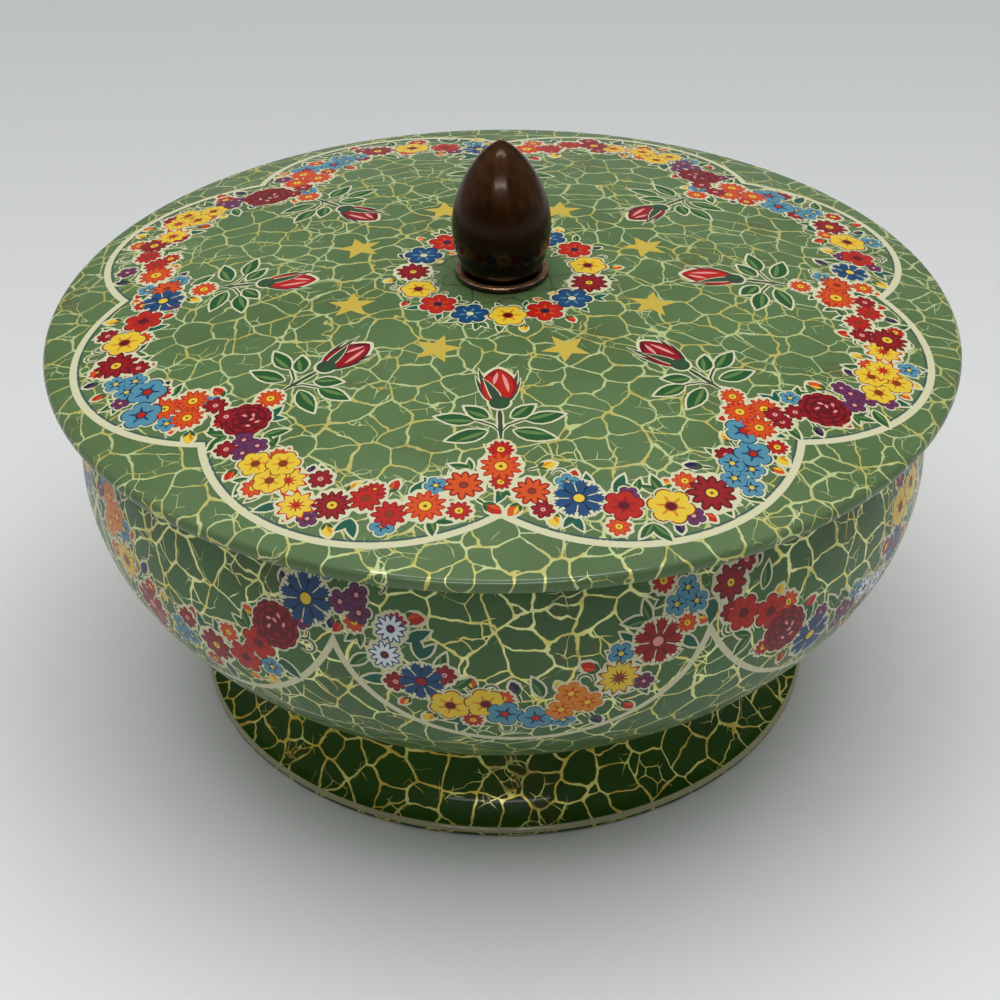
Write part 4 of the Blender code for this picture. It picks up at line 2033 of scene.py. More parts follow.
class Flowers:
    """The flowers, leaves and buds of the garlands and the wreath."""

    PAIR = Cluster.PAIR
    SUN = RayBloom(9.2, 12, Ink.ORANGE, Ink.SCARLET, Ink.YELLOW)
    SPARK = TippedBloom(8.8, 9, Ink.YELLOW, Ink.SCARLET)
    FULL = RuffledBloom(11.4, Ink.MAROON, Ink.CRIMSON, Ink.PINK)
    POOL = RoundBloom(8.4, 5, Ink.SKY, Ink.NAVY, Ink.BLUE, Ink.SCARLET)
    BUTTER = RoundBloom(9.6, 6, Ink.YELLOW, Ink.BROWN, Ink.AMBER, Ink.MAROON)
    FLAME = RayBloom(8.2, 10, Ink.ORANGE, Ink.CRIMSON, Ink.BROWN, 0.16, 0.7)
    WINE = RayBloom(10.0, 11, Ink.CRIMSON, Ink.MAROON, Ink.YELLOW, 0.22, 0.7)
    CORN = RaggedBloom(9.6, 9, Ink.BLUE, Ink.NAVY, Ink.YELLOW)
    POPPY = RoundBloom(8.4, 6, Ink.SCARLET, Ink.MAROON, Ink.CRIMSON, Ink.MAROON)
    PLUM = RoundBloom(4.8, 5, Ink.PURPLE, Ink.NAVY, Ink.MAROON, Ink.PINK)
    DROP = RoundBloom(5.2, 5, Ink.SKY, Ink.BLUE, Ink.NAVY, Ink.YELLOW)
    EMBER = RayBloom(5.2, 11, Ink.SCARLET, Ink.CRIMSON, Ink.YELLOW, 0.3, 0.6)
    BERRY = RayBloom(5.6, 8, Ink.CRIMSON, Ink.MAROON, Ink.PINK, 0.22, 0.6)
    MARIGOLD = RoundBloom(6.8, 6, Ink.AMBER, Ink.ORANGE, Ink.SCARLET, Ink.YELLOW)
    MOON = RayBloom(6.8, 11, Ink.WHITE, Ink.BLUE, Ink.MAROON, 0.2)

    ON_LID = (
        SUN,
        Cluster(SPARK, 8.8, PAIR),
        FULL,
        Cluster(POOL, 8.4, PAIR),
        BUTTER,
        FLAME,
        RayBloom(9.0, 13, Ink.CRIMSON, Ink.MAROON, Ink.YELLOW, 0.24),
        Cluster(PLUM, 4.8),
        Cluster(RayBloom(7.6, 12, Ink.ORANGE, Ink.SCARLET, Ink.YELLOW, 0.26), 7.6),
        WINE,
        CORN,
        Cluster(RayBloom(7.4, 10, Ink.SCARLET, Ink.CRIMSON, Ink.BROWN, 0.2), 7.4, PAIR),
        Cluster(RoundBloom(7.0, 6, Ink.YELLOW, Ink.BROWN, Ink.AMBER, Ink.BROWN), 7.0),
        Cluster(BERRY, 5.6, PAIR),
        Cluster(DROP, 5.2),
        POPPY,
    )
    ON_BOWL = (
        RaggedBloom(12.0, 10, Ink.BLUE, Ink.NAVY, Ink.YELLOW),
        RaggedBloom(10.4, 9, Ink.CRIMSON, Ink.MAROON, Ink.PINK),
        RaggedBloom(10.0, 9, Ink.BLUE, Ink.NAVY, Ink.CRIMSON),
        Cluster(POPPY, 8.4, PAIR),
        Cluster(MARIGOLD, 6.8),
        Cluster(PLUM, 4.8),
        Cluster(DROP, 5.2),
        Cluster(BUTTER, 8.8, PAIR),
        FULL,
        TippedBloom(9.6, 11, Ink.YELLOW, Ink.BROWN),
        Cluster(MOON, 7.0, PAIR),
        RayBloom(8.6, 9, Ink.CRIMSON, Ink.MAROON, Ink.YELLOW, 0.2, 0.7),
        Cluster(POOL, 8.0, PAIR),
    )
    SMALL = (EMBER, PLUM, BERRY, DROP, RayBloom(5.4, 9, Ink.ORANGE, Ink.SCARLET, Ink.YELLOW))
    IN_WREATH = (
        RoundBloom(8.2, 6, Ink.YELLOW, Ink.BROWN, Ink.AMBER, Ink.MAROON),
        RayBloom(8.6, 11, Ink.CRIMSON, Ink.MAROON, Ink.YELLOW, 0.18),
        RoundBloom(8.4, 6, Ink.BLUE, Ink.NAVY, Ink.SKY, Ink.CREAM),
        RoundBloom(8.2, 6, Ink.SCARLET, Ink.CRIMSON, Ink.ORANGE, Ink.NAVY),
    )
    GREENERY = (
        Foliage(5.4, (8.0,)),
        Bud(5.6, Ink.SCARLET, Ink.ORANGE),
        Foliage(5.2, (28.0, -30.0)),
        Tendril(6.4, 1.0),
        Bud(5.8, Ink.YELLOW, Ink.AMBER),
        Foliage(5.6, (-6.0,), Ink.TEAL),
        Foliage(5.0, (0.0, 46.0, -44.0)),
        Bud(5.0, Ink.NAVY, Ink.PURPLE),
        Tendril(6.0, -1.0),
        Foliage(5.2, (14.0, -26.0), Ink.TEAL),
        Bud(5.4, Ink.ORANGE, Ink.YELLOW),
    )
    SPRIGS = (
        RoseSprig(Ink.SCARLET, Ink.CRIMSON, Ink.PINK),
        RoseSprig(Ink.CRIMSON, Ink.MAROON, Ink.PINK),
    )


class Strays(Enum):
    """How far a garland's motifs stray: across the path, their turn, and how far that does."""

    GREENS = (0.7, 90.0, 42.0)
    FILLERS = (0.9, 0.0, 180.0)
    BLOOMS = (1.1, 0.0, 50.0)


@dataclass
class Garland:
    """Rows of greenery, small flowers and large ones along one path.

    Attributes:
        path: The path, in millimetres.
        closed: Whether it is closed.
    """

    path: Outline
    closed: bool = True

    def row(
        self,
        name: str,
        kind: Strays,
        motifs: Sequence[Motif],
        count: int,
        side: float,
        *rest: object,
    ) -> PrintRow:
        """Plans one row, of which the greens point away from the path.

        Args:
            name: What the row is.
            kind: Its kind.
            motifs: What is set along it.
            count: How many are set.
            side: How far beside the path, to the left.
            *rest: Their sizes, the stride of the picks and the seed, as for every row.

        Returns:
            The row.
        """
        sway, turn, spread = kind.value
        turn = math.copysign(turn, side) if turn else 0.0
        strays = (side, sway, turn, spread)
        return PrintRow(name, self.path, motifs, count, *strays, *rest, self.closed)


def laid_out(rows: Sequence[PrintRow | PrintedLine]) -> list[FlatShape]:
    """Everything that rows and lines put on the paper, the later over the earlier."""
    return [shape for order, row in enumerate(rows) for shape in row.shapes(order)]


@dataclass
class SubAssembly:
    """Pieces that ride on one body.

    Attributes:
        body: The body.
        pieces: What has been built.
    """

    body: Body
    pieces: list[bpy.types.Object] = field(default_factory=list)

    def build(self) -> None:
        """Builds and dresses the pieces."""
        raise NotImplementedError

    def keep(self, piece: bpy.types.Object, slot: str, *nodes: str) -> None:
        """Puts a piece on the body.

        Args:
            piece: The piece.
            slot: A finish slot's name; it is not used.
            *nodes: The CAD nodes that it stands for.
        """
        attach(piece, self.body.value)
        if nodes:
            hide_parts(*nodes)
        self.pieces.append(piece)
        log.info("%s: %s, %d faces", self.body.value, piece.name, len(piece.data.polygons))

    def redress(self, node: str, finish: Finish) -> None:
        """Gives a CAD node that stays a better finish.

        Args:
            node: The node.
            finish: The finish.
        """
        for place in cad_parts[node].material_slots:
            place.material = finish.material()
        log.info("%s: %s keeps its shape", self.body.value, node)


@dataclass
class Lid(SubAssembly):
    """The domed lid: its printed panel, and the plain ring under it.

    Attributes:
        radius: To the outside of the rim's curl, in millimetres.
        web: The height of the curl's middle.
        rise: How far the dome rises over the curl.
        curl: The curl's outer radius.
        seat: The radius of the flat seat under the knob.
        saucer_line: The radius of a point on the seat, under the saucer.
        bore: The radius of the screw's hole.
        plug_line: The radius of the ring's skirt.
        plug_depth: How deep it plugs the bowl.
        corner: The radius of the bend between the ring and its skirt.
        hem: The radius of the skirt's hem.
        hem_rise: How far the hem's edge comes back up.
        lobes: How many scallops, sprigs and stars there are.
        lobe_centre: How far from the axis the scallops' arcs have their centres.
        scallop: The radius of the cream scallop line's arcs.
        scallop_width: The width of that line.
        shadow_gap: How far inside its middle the slate line under it runs.
        shadow_width: The width of the slate line.
        garland: The radius of the garland's arcs.
        star_ring: The radius of the ring that the stars stand on.
        star: The radius of a star.
        wreath_rings: The radii of the wreath's flowers and of the leaves outside and inside.
        sprig_ring: The radius at which the rose sprigs stand.
        cusp_ring: The radius at which a flower hides the foot of each sprig.
        print_edge: How far under the curl's top the print may reach.
        pattern_turn: How far the pattern is turned from the front, in degrees.
    """

    body: Body = Body.LID
    radius: float = 101.2
    web: float = 88.775
    rise: float = 10.0
    curl: float = 1.8
    seat: float = 11.6
    saucer_line: float = 8.0
    bore: float = 2.2
    plug_line: float = 90.875
    plug_depth: float = 8.0
    corner: float = 1.2
    hem: float = 0.55
    hem_rise: float = 1.6
    lobes: int = 8
    lobe_centre: float = 58.0
    scallop: float = 37.8
    scallop_width: float = 1.55
    shadow_gap: float = 1.12
    shadow_width: float = 0.36
    garland: float = 28.3
    star_ring: float = 35.0
    star: float = 5.4
    wreath_rings: tuple[float, float, float] = (19.5, 22.4, 16.8)
    sprig_ring: float = 63.2
    cusp_ring: float = 66.2
    print_edge: float = 0.3
    pattern_turn: float = -0.4

    def panel_run(self) -> Run:
        """The middle of the panel's sheet.

        Returns:
            The run, from the end of the curl in to the hole.
        """
        line = self.curl - TINPLATE / 2.0
        centre = (self.radius - self.curl, self.web)
        slope = 2.0 * self.rise / (centre[0] - self.seat)
        curl = arc(centre, line, -150.0, 90.0 - math.degrees(math.atan(slope)), 26)
        shoulder = curl[-1]
        top = shoulder[1] + self.rise
        shares = [step / 40 for step in range(39, -1, -1)]
        dome = [between((self.seat, top), shoulder, share, share**2) for share in shares]
        return Run((*curl, *dome, (self.saucer_line, top), (self.bore, top)))

    def seat_top(self) -> float:
        """The height of the flat seat that the saucer stands on."""
        return self.panel_run().points[-1][1] + TINPLATE / 2.0

    def lobed(self, radius: float, steps: int) -> Outline:
        """A closed line of arcs that meet on the rays between the lobes.

        Args:
            radius: The radius of each arc.
            steps: How many steps each arc has.

        Returns:
            The line, walked anticlockwise from the front.
        """
        half = math.pi / self.lobes
        chord = self.lobe_centre * math.sin(half)
        ray = self.lobe_centre * math.cos(half) + math.sqrt(radius**2 - chord**2)
        sweep = math.atan2(ray * math.sin(half), ray * math.cos(half) - self.lobe_centre)
        line = []
        for lobe in range(self.lobes):
            out = 2.0 * half * (lobe + 0.5) - math.pi / 2.0
            centre = polar(self.lobe_centre, out)
            turns = [out - sweep + 2.0 * sweep * step / steps for step in range(steps)]
            line += [polar(radius, turn, centre) for turn in turns]
        return line

    def ring(self, radius: float, first: float = 0.0, count: int = 96) -> Outline:
        """A circle on the paper, from an angle off the front, in degrees."""
        turns = [math.radians(first - 90.0 + 360.0 * step / count) for step in range(count)]
        return [polar(radius, turn) for turn in turns]

    def paper(self) -> list[FlatShape]:
        """Lays out everything printed on the lid, as seen from above.

        Returns:
            The shapes.
        """
        row, greens = Garland(self.lobed(self.garland, 24)).row, Flowers.GREENERY
        small, star, ring = Flowers.SMALL, [Star(self.star)], self.ring
        out, inward, lobes, shadow = -90.0, 90.0, self.lobes, self.scallop - self.shadow_gap
        flowers, outer, inner = self.wreath_rings
        stars = {"turn": inward, "spread": 20.0, "seed": 4}
        leaves = {"sway": 0.5, "turn": out, "sizes": (0.6, 0.8), "stride": 4, "seed": 5}
        hearts = {"sway": 0.4, "turn": inward, "sizes": (0.5, 0.6), "stride": 5, "seed": 8}
        wreath = {"sway": 0.3, "spread": 60.0, "sizes": (0.95, 1.08), "stride": 3, "seed": 2}
        sprigs = {"turn": inward, "spread": 5.0, "sizes": (0.96, 1.04), "seed": 3}
        cusps = {"spread": 30.0, "sizes": (0.6, 0.7)}
        return laid_out(
            [
                PrintedLine(self.lobed(shadow, 44), self.shadow_width, Ink.SLATE),
                PrintedLine(self.lobed(self.scallop, 44), self.scallop_width, Ink.CREAM),
                PrintRow("stars", ring(self.star_ring, 180.0 / lobes), star, lobes, **stars),
                row("outer_greens", Strays.GREENS, greens, 132, -3.6, (0.8, 1.1), 5, 11),
                row("inner_greens", Strays.GREENS, greens, 118, 3.6, (0.75, 1.05), 4, 23),
                PrintRow("wreath_leaves", ring(outer), greens, 30, spread=40.0, **leaves),
                PrintRow("wreath_heart", ring(inner), greens, 20, spread=40.0, **hearts),
                PrintRow("wreath", ring(flowers, 4.0), Flowers.IN_WREATH, 15, **wreath),
                PrintRow("sprigs", ring(self.sprig_ring), Flowers.SPRIGS, lobes, **sprigs),
                PrintRow("cusp_blooms", ring(self.cusp_ring), [Flowers.SUN], lobes, **cusps),
                row("outer_fillers", Strays.FILLERS, small, 46, -4.6, (0.85, 1.1), 2, 17),
                row("inner_fillers", Strays.FILLERS, small, 42, 4.4, (0.85, 1.05), 3, 19),
                row("garland", Strays.BLOOMS, Flowers.ON_LID, 66, 0.0, (0.92, 1.08), 5, 7),
            ]
        )

    def build(self) -> None:
        """Builds the printed top, its plain underside, the print on it and the ring."""
        top, under = self.panel_run().faces(TINPLATE)
        coat = {"shade": linear(78, 103, 62), "worn_radius": 0.017}
        green = CrackledLacquer("lid_lacquer", linear(86, 112, 70), **coat)
        self.keep(turned("lid_top", top, green), "litho_green", "lid_panel")
        tin = BareTin("lid_inside_tin", linear(206, 196, 160))
        self.keep(turned("lid_underside", under, tin, 128), "plain_tin")
        lowest = self.web + self.curl - self.print_edge
        dome = Run(tuple(point for point in top.points if point[1] > lowest))
        press = PrintPress(DomeWrap(dome, turn=self.pattern_turn))
        for half in press.press(("lid_print_left", "lid_print_right"), self.paper()):
            self.keep(half, "litho_green")
        self.build_ring()

    def build_ring(self) -> None:
        """Builds the plain ring that the panel's curl grips, with its hemmed skirt."""
        bend = (self.plug_line + self.corner, self.web - self.corner)
        hem = (self.plug_line - self.hem, self.web - self.plug_depth + self.hem)
        run = [(self.radius - TINPLATE - SEAT_GAP, self.web)]
        run += arc(bend, self.corner, 90.0, 180.0, 8) + arc(hem, self.hem, 0.0, -180.0, 12)
        run.append((run[-1][0], hem[1] + self.hem_rise))
        face, back = Run(tuple(run)).faces(TINPLATE)
        tin = BareTin("ring_tin", linear(204, 198, 172), 0.28)
        skin = turned("lid_ring_skin", Run(face.points + back.points[1:]), tin, 160)
        self.keep(skin, "plain_tin", "lid_ring")


@dataclass
class Knob(SubAssembly):
    """The egg-shaped knob on its dished saucer, with the fixings that hold it on the lid.

    Attributes:
        seat: The height of the flat seat on the lid, in millimetres.
        bore: The radius of the saucer's hole.
        saucer: The saucer's radius.
        well: The radius inside its lip.
        plate: The thickness of its plate.
        lip: How far its lip stands over the plate.
        roll: The radius that its lip is rounded to.
        hold: How far beside a bend an extra point keeps the plate flat.
        height: The knob's height.
        foot: The radius of its foot.
        belly: The radius of its belly.
        belly_height: The height of its belly.
        socket: The radius of the blind socket in its base.
        socket_depth: The depth of the socket.
        pale_from: Where the painted light of the paler brown begins, over the knob's foot.
        pale_to: Where that painted light is palest, over the knob's foot.
    """

    body: Body = Body.LID
    seat: float = 100.0
    bore: float = 2.2
    saucer: float = 10.4
    well: float = 8.7
    plate: float = 0.6
    lip: float = 0.55
    roll: float = 0.5
    hold: float = 0.3
    height: float = 30.3
    foot: float = 8.2
    belly: float = 10.85
    belly_height: float = 10.6
    socket: float = 3.8
    socket_depth: float = 10.3
    pale_from: float = 6.0
    pale_to: float = 22.0

    # How blunt the egg is over its belly: the powers that shape its way up and its way in.
    EGG: ClassVar = (1.85, 0.714)
    # How far inside its edge the knob's flat foot ends, and the width of the bevel there.
    FOOT_EDGE: ClassVar = (0.35, 0.1)

    def build(self) -> None:
        """Builds the knob and the saucer under it, and finishes the fixings."""
        base = self.seat + SEAT_GAP
        floor = base + self.plate
        self.build_egg(floor + SEAT_GAP)
        self.build_saucer(base, floor)
        zinc = MachinedMetal("zinc_plate", linear(186, 186, 182), 0.32)
        self.redress("knob_screw", zinc)
        self.redress("screw_washer", zinc)
        bloom = linear(150, 112, 56)
        brass = MachinedMetal("insert_brass", linear(206, 166, 88), 0.28, bloom=bloom)
        self.redress("knob_insert", brass)

    def build_egg(self, bottom: float) -> None:
        """Builds the egg-shaped knob with its blind socket.

        Args:
            bottom: The height of its foot.
        """
        low, middle = (self.foot, bottom), (self.belly, bottom + self.belly_height)
        tip, ceiling = (0.0, bottom + self.height), bottom + self.socket_depth
        run = [(0.0, ceiling), (self.socket, ceiling), (self.socket, bottom)]
        (flat_end, bevel), (up, into) = self.FOOT_EDGE, self.EGG
        run += [(self.foot - flat_end, bottom), (self.foot - bevel, bottom + bevel)]
        for step in range(1, 17):
            share = step / 16
            run.append(between(low, middle, 1.0 - (1.0 - share) ** 2, share))
        for step in range(1, 33):
            share = math.sin(math.pi / 2.0 * step / 33)
            run.append(between(middle, tip, 1.0 - (1.0 - share**up) ** into, share))
        # From these heights up the brown is painted paler, as light falling from above.
        heights = {"low": (bottom + self.pale_from) * MM, "high": (bottom + self.pale_to) * MM}
        coat = {"varnish": 0.03, "sheen": 0.14}
        brown = TurnedBrown("knob_brown", linear(11, 5, 2), 0.17, **coat, **heights)
        self.keep(turned("knob_egg", Run((*run, tip)), brown, 96), "dark_brown", "knob")

    def build_saucer(self, base: float, floor: float) -> None:
        """Builds the dished saucer.

        Args:
            base: The height of its underside.
            floor: The height of its plate's top.
        """
        bore, roll, well = self.bore, self.roll, self.well
        inner, outer, top = well + roll, self.saucer - roll, floor + self.lip - roll
        run = [(bore, base), (outer - self.hold, base)]
        run += arc((outer, base + roll), roll, -90.0, 0.0, 6)
        run += arc((outer, top), roll, 0.0, 90.0, 6) + arc((inner, top), roll, 90.0, 180.0, 6)
        run += [(well, floor), (well - self.hold, floor), (bore, floor), (bore, base)]
        # The pale top of the saucer's lip is a painted highlight.
        lip_height = (floor + self.lip) * MM
        coat = {"metal": 0.7, "varnish": 0.4, "lip_height": lip_height}
        bronze = GrimyBronzePaintedLip("saucer_bronze", linear(62, 38, 24), 0.26, **coat)
        saucer = turned("saucer_dish", Run(tuple(run)), bronze, 96)
        self.keep(saucer, "bronze_brown", "knob_saucer")


@dataclass
class Bowl(SubAssembly):
    """The drawn bowl.

    Attributes:
        base: The radius of its flat base, in millimetres.
        base_height: The height of the base.
        belly: The radius of the belly.
        belly_height: Its height over the base.
        fullness: How full the lower side is.
        mouth: The radius of the collar.
        mouth_top: The height of the mouth's curl.
        collar: The height of the straight collar.
        curl: The outer radius of the mouth's curl.
        girth: The radius at which the strip of print isn't stretched.
        swags: How many swags there are.
        swag: The radius of the cream swags' arcs.
        swag_bottom: The height of their lowest point.
        swag_width: The width of the line.
        garland_gap: How far the garland lies over the swags.
        pattern_turn: How far the pattern is turned from the front, in degrees.
    """

    body: Body = Body.BOWL
    base: float = 60.0
    base_height: float = 15.4
    belly: float = 95.8
    belly_height: float = 47.5
    fullness: float = 0.909
    mouth: float = 92.0
    mouth_top: float = 88.3
    collar: float = 4.5
    curl: float = 1.3
    girth: float = 95.0
    swags: int = 8
    swag: float = 40.6
    swag_bottom: float = 43.8
    swag_width: float = 1.4
    garland_gap: float = 10.0
    pattern_turn: float = 24.7

    def side_run(self) -> Run:
        """The middle of the bowl's sheet.

        Returns:
            The run, from the pole of the base to the mouth's curl.
        """
        low = (self.base, self.base_height + TINPLATE / 2.0)
        middle = (self.belly - TINPLATE / 2.0, self.base_height + self.belly_height)
        high = (self.mouth - TINPLATE / 2.0, self.mouth_top - self.collar)
        points = [(0.0, low[1]), (self.base / 2.0, low[1]), low]
        for step in range(1, 37):
            share = (step / 36) ** 1.5
            out = (1.0 - (1.0 - share) ** 2) ** self.fullness
            points.append(between(low, middle, out, share))
        for step in range(1, 13):
            points.append(between(middle, high, (step / 12) ** 2, step / 12))
        line = self.curl - TINPLATE / 2.0
        centre = (high[0] + line, self.mouth_top - self.curl)
        return Run((*points, *arc(centre, line, 180.0, -105.0, 20)))

    def swag_line(self, gap: float, steps: int) -> Outline:
        """A line of hanging arcs, rounded over the peaks where it lies above the swags.

        Args:
            gap: How far it lies above the swags' own line.
            steps: How many steps each arc has.

        Returns:
            The line, from one end of the strip to the other.
        """
        pitch = 2.0 * math.pi * self.girth / self.swags
        height = self.swag_bottom + self.swag
        sweep = math.degrees(math.asin(pitch / 2.0 / self.swag))
        peak = height - math.sqrt(self.swag**2 - (pitch / 2.0) ** 2)
        left, line = -pitch * self.swags / 2.0, []
        for swag in range(self.swags):
            x = pitch * (swag - (self.swags - 1) / 2.0)
            hung = arc((x, height), self.swag - gap, -90.0 - sweep, -90.0 + sweep, steps)
            if gap:
                top = (x + pitch / 2.0, peak)
                line += hung + arc(top, gap, 180.0 - (90.0 - sweep), 90.0 - sweep, 10)[1:-1]
            else:
                line += hung[:-1]
        if gap:
            cap = arc((left, peak), gap, 90.0, 90.0 - sweep, 5)[:-1]
            return cap + line[:-5] + [(left + pitch * self.swags, peak + gap)]
        return line + [(line[0][0] + pitch * self.swags, line[0][1])]

    def paper(self) -> list[FlatShape]:
        """Lays out everything printed on the bowl, as a strip.

        Returns:
            The shapes.
        """
        row = Garland(self.swag_line(self.garland_gap, 26), closed=False).row
        greens, small = Flowers.GREENERY, Flowers.SMALL
        return laid_out(
            [
                PrintedLine(self.swag_line(0.0, 40), self.swag_width, Ink.CREAM, closed=False),
                row("upper_greens", Strays.GREENS, greens, 150, 3.7, (0.8, 1.1), 4, 31),
                row("lower_greens", Strays.GREENS, greens, 140, -3.7, (0.8, 1.1), 5, 37),
                row("upper_fillers", Strays.FILLERS, small, 52, 4.8, (0.85, 1.1), 2, 41),
                row("lower_fillers", Strays.FILLERS, small, 48, -4.6, (0.85, 1.05), 3, 43),
                row("swag_garland", Strays.BLOOMS, Flowers.ON_BOWL, 72, 0.0, (0.92, 1.06), 5, 13),
            ]
        )

    def build(self) -> None:
        """Builds the printed outside, the plain inside and the print."""
        outside, inside = self.side_run().faces(TINPLATE)
        cracks = {"gold": linear(226, 230, 160), "deep_gold": linear(214, 202, 112), "cell": 0.0073}
        # Low on the bowl the cracks are painted thinner and duller, standing in for the varnish's
        # hazy reflection at a slant.
        seen = {"crack": 0.00036, "metal_share": 0.4, "faint_heights": (0.028, 0.046)}
        # The bowl carries the lid's print; its green is painted a little darker as shade for the
        # dimmer light on its side.
        coat = {"shade": linear(64, 96, 54), "varnish": 0.25, "sheen": 0.14}
        green = CrackledLacquer("bowl_lacquer", linear(72, 106, 62), 0.36, **coat, **cracks, **seen)
        self.keep(turned("bowl_outside", outside, green), "litho_green", "bowl")
        tin = BareTin("bowl_inside_tin", linear(204, 194, 158))
        self.keep(turned("bowl_inside", Run(inside.points[:-1]), tin, 160), "plain_tin")
        belt = BeltWrap(outside, girth=self.girth, turn=self.pattern_turn)
        press = PrintPress(belt, grain=2.4, period=2.0 * math.pi * self.girth)
        for half in press.press(("bowl_print_left", "bowl_print_right"), self.paper()):
            self.keep(half, "litho_green")


def eased(knots: Sequence[Point], steps: int) -> list[Point]:
    """A smooth curve through knots.

    Args:
        knots: The knots.
        steps: How many steps there are between two of them.

    Returns:
        The points of the curve.
    """
    ends = [Vector(a) * 2 - Vector(b) for a, b in (knots[:2], knots[:-3:-1])]
    spread = [ends[0], *map(Vector, knots), ends[1]]
    found = []
    for a, b, c, d in zip(spread, spread[1:], spread[2:], spread[3:]):
        for t in (step / steps for step in range(steps)):
            square, cube = (2 * a - 5 * b + 4 * c - d) * t**2, (3 * b - a - 3 * c + d) * t**3
            found.append(tuple(0.5 * (2 * b + (c - a) * t + square + cube)))
    return [*found, tuple(knots[-1])]


@dataclass
class Foot(SubAssembly):
    """The flared foot ring under the bowl, with its tan line.

    Attributes:
        height: Its height, in millimetres.
        radius: Its radius at the hem.
        neck: The radius of its neck.
        corner: The radius of the bend over the neck.
        flange: The width of the flange under the bowl.
        hem: The outer radius of the hem.
        hem_flat: The width of the hem's flat underside.
        hem_inner: The radius of the bend inside the hem.
        line_height: The height of the tan line's middle.
        band: The width of one band of the line.
        bands: How many bands make up the line.
    """

    body: Body = Body.BOWL
    height: float = 15.4
    radius: float = 73.0
    neck: float = 62.5
    corner: float = 1.2
    flange: float = 9.0
    hem: float = 1.3
    hem_flat: float = 0.9
    hem_inner: float = 1.04
    line_height: float = 1.9
    band: float = 0.22
    bands: int = 5

    # How far apart the press adds points where a print needs none: wider than any print.
    NO_GRAIN: ClassVar = 1.0e3
    # The flare, from the neck to the hem: shares of the way out and of the way down.
    FLARE: ClassVar = (
        *((0.0, 0.0), (0.12, 0.23), (0.27, 0.47), (0.45, 0.69)),
        *((0.66, 0.86), (0.86, 0.965), (1.0, 1.0)),
    )

    def side_run(self) -> Run:
        """The middle of the foot's sheet.

        Returns:
            The run, from inside the hem up to the flange's edge.
        """
        half = TINPLATE / 2.0
        line = self.height - SEAT_GAP - half
        path = [(self.neck - self.flange, line)]
        path += arc((self.neck - self.corner, line - self.corner), self.corner, 90.0, 35.0, 6)
        centre = (self.radius - self.hem, self.hem)
        start, end = path[-1], (centre[0], centre[1] + self.hem - half)
        path += [between(start, end, *share) for share in eased(self.FLARE, 4)[1:]]
        path += arc(centre, self.hem - half, 82.0, -90.0, 16)
        inner = (centre[0] - self.hem_flat, self.hem_inner)
        path.append((inner[0], half))
        path += arc(inner, self.hem_inner - half, -115.0, -190.0, 6)
        return Run(tuple(path)).reverse()

    def build(self) -> None:
        """Builds the printed outside, the plain inside and the tan line round the hem."""
        outside, inside = self.side_run().faces(TINPLATE)
        cracks = {"gold": linear(228, 226, 132), "deep_gold": linear(212, 188, 80), "cell": 0.0072}
        seep = {"metal_share": 0.2, "fringe": linear(132, 100, 26), "fringe_share": 0.85}
        coat = {"shade": linear(38, 69, 16), "varnish": 0.05, "sheen": 0.06}
        dark = CrackledLacquer("foot_lacquer", linear(50, 85, 24), 0.4, **coat, **cracks, **seep)
        self.keep(turned("foot_outside", outside, dark), "litho_dark_green", "foot_ring")
        tin = BareTin("foot_inside_tin", linear(196, 188, 160), 0.34)
        self.keep(turned("foot_inside", inside, tin, 160), "plain_tin")
        self.print_line(outside)

    def print_line(self, outside: Run) -> None:
        """Prints the tan line, in bands narrow enough to follow the hem's bend.

        Args:
            outside: The outside of the foot.
        """
        inner, top = self.radius - self.hem, 2.0 * self.hem
        hem = Run(tuple(point for point in outside.points if point[0] > inner and point[1] < top))
        period, steps, lines = 2.0 * math.pi * self.radius, 192, []
        for row in range(self.bands):
            height = self.line_height + self.band * (row - (self.bands - 1) / 2.0)
            path = [(period * (step / steps - 0.5), height) for step in range(steps + 1)]
            lines += PrintedLine(path, self.band, Ink.TAN, closed=False).shapes(row)
        press = PrintPress(BeltWrap(hem, girth=self.radius), self.NO_GRAIN, period)
        self.keep(*press.press(["foot_line"], lines), "litho_dark_green")


# ---------------------------------------------------------------------- studio


class LampRole(Enum):
    """What a lamp is for: to light, or only to be mirrored in gloss."""

    SOFT = "soft"
    GLINT = "glint"


@dataclass(frozen=True)
class Lamp:
    """A soft rectangular lamp that is aimed at the tin.

    Attributes:
        name: Its name.
        size: Its width and height, in metres.
        watts: Its power.
        place: Where it hangs, in metres.
        role: Whether it lights, or is only mirrored.
    """

    name: str
    size: Point
    watts: float
    place: tuple[float, float, float]
    role: LampRole = LampRole.SOFT

    AIM: ClassVar = (0.0, 0.0, 0.05)

    def hang(self) -> None:
        """Hangs the lamp."""
        light = bpy.data.lights.new(self.name, "AREA")
        light.shape = "RECTANGLE"
        light.size, light.size_y = self.size
        light.energy = self.watts
        made = shown(self.name, light)
        made.location = self.place
        aim = Vector(self.AIM) - Vector(self.place)
        made.rotation_euler = aim.to_track_quat("-Z", "Y").to_euler()
        made.visible_glossy = self.role is LampRole.GLINT
        made.visible_diffuse = self.role is LampRole.SOFT


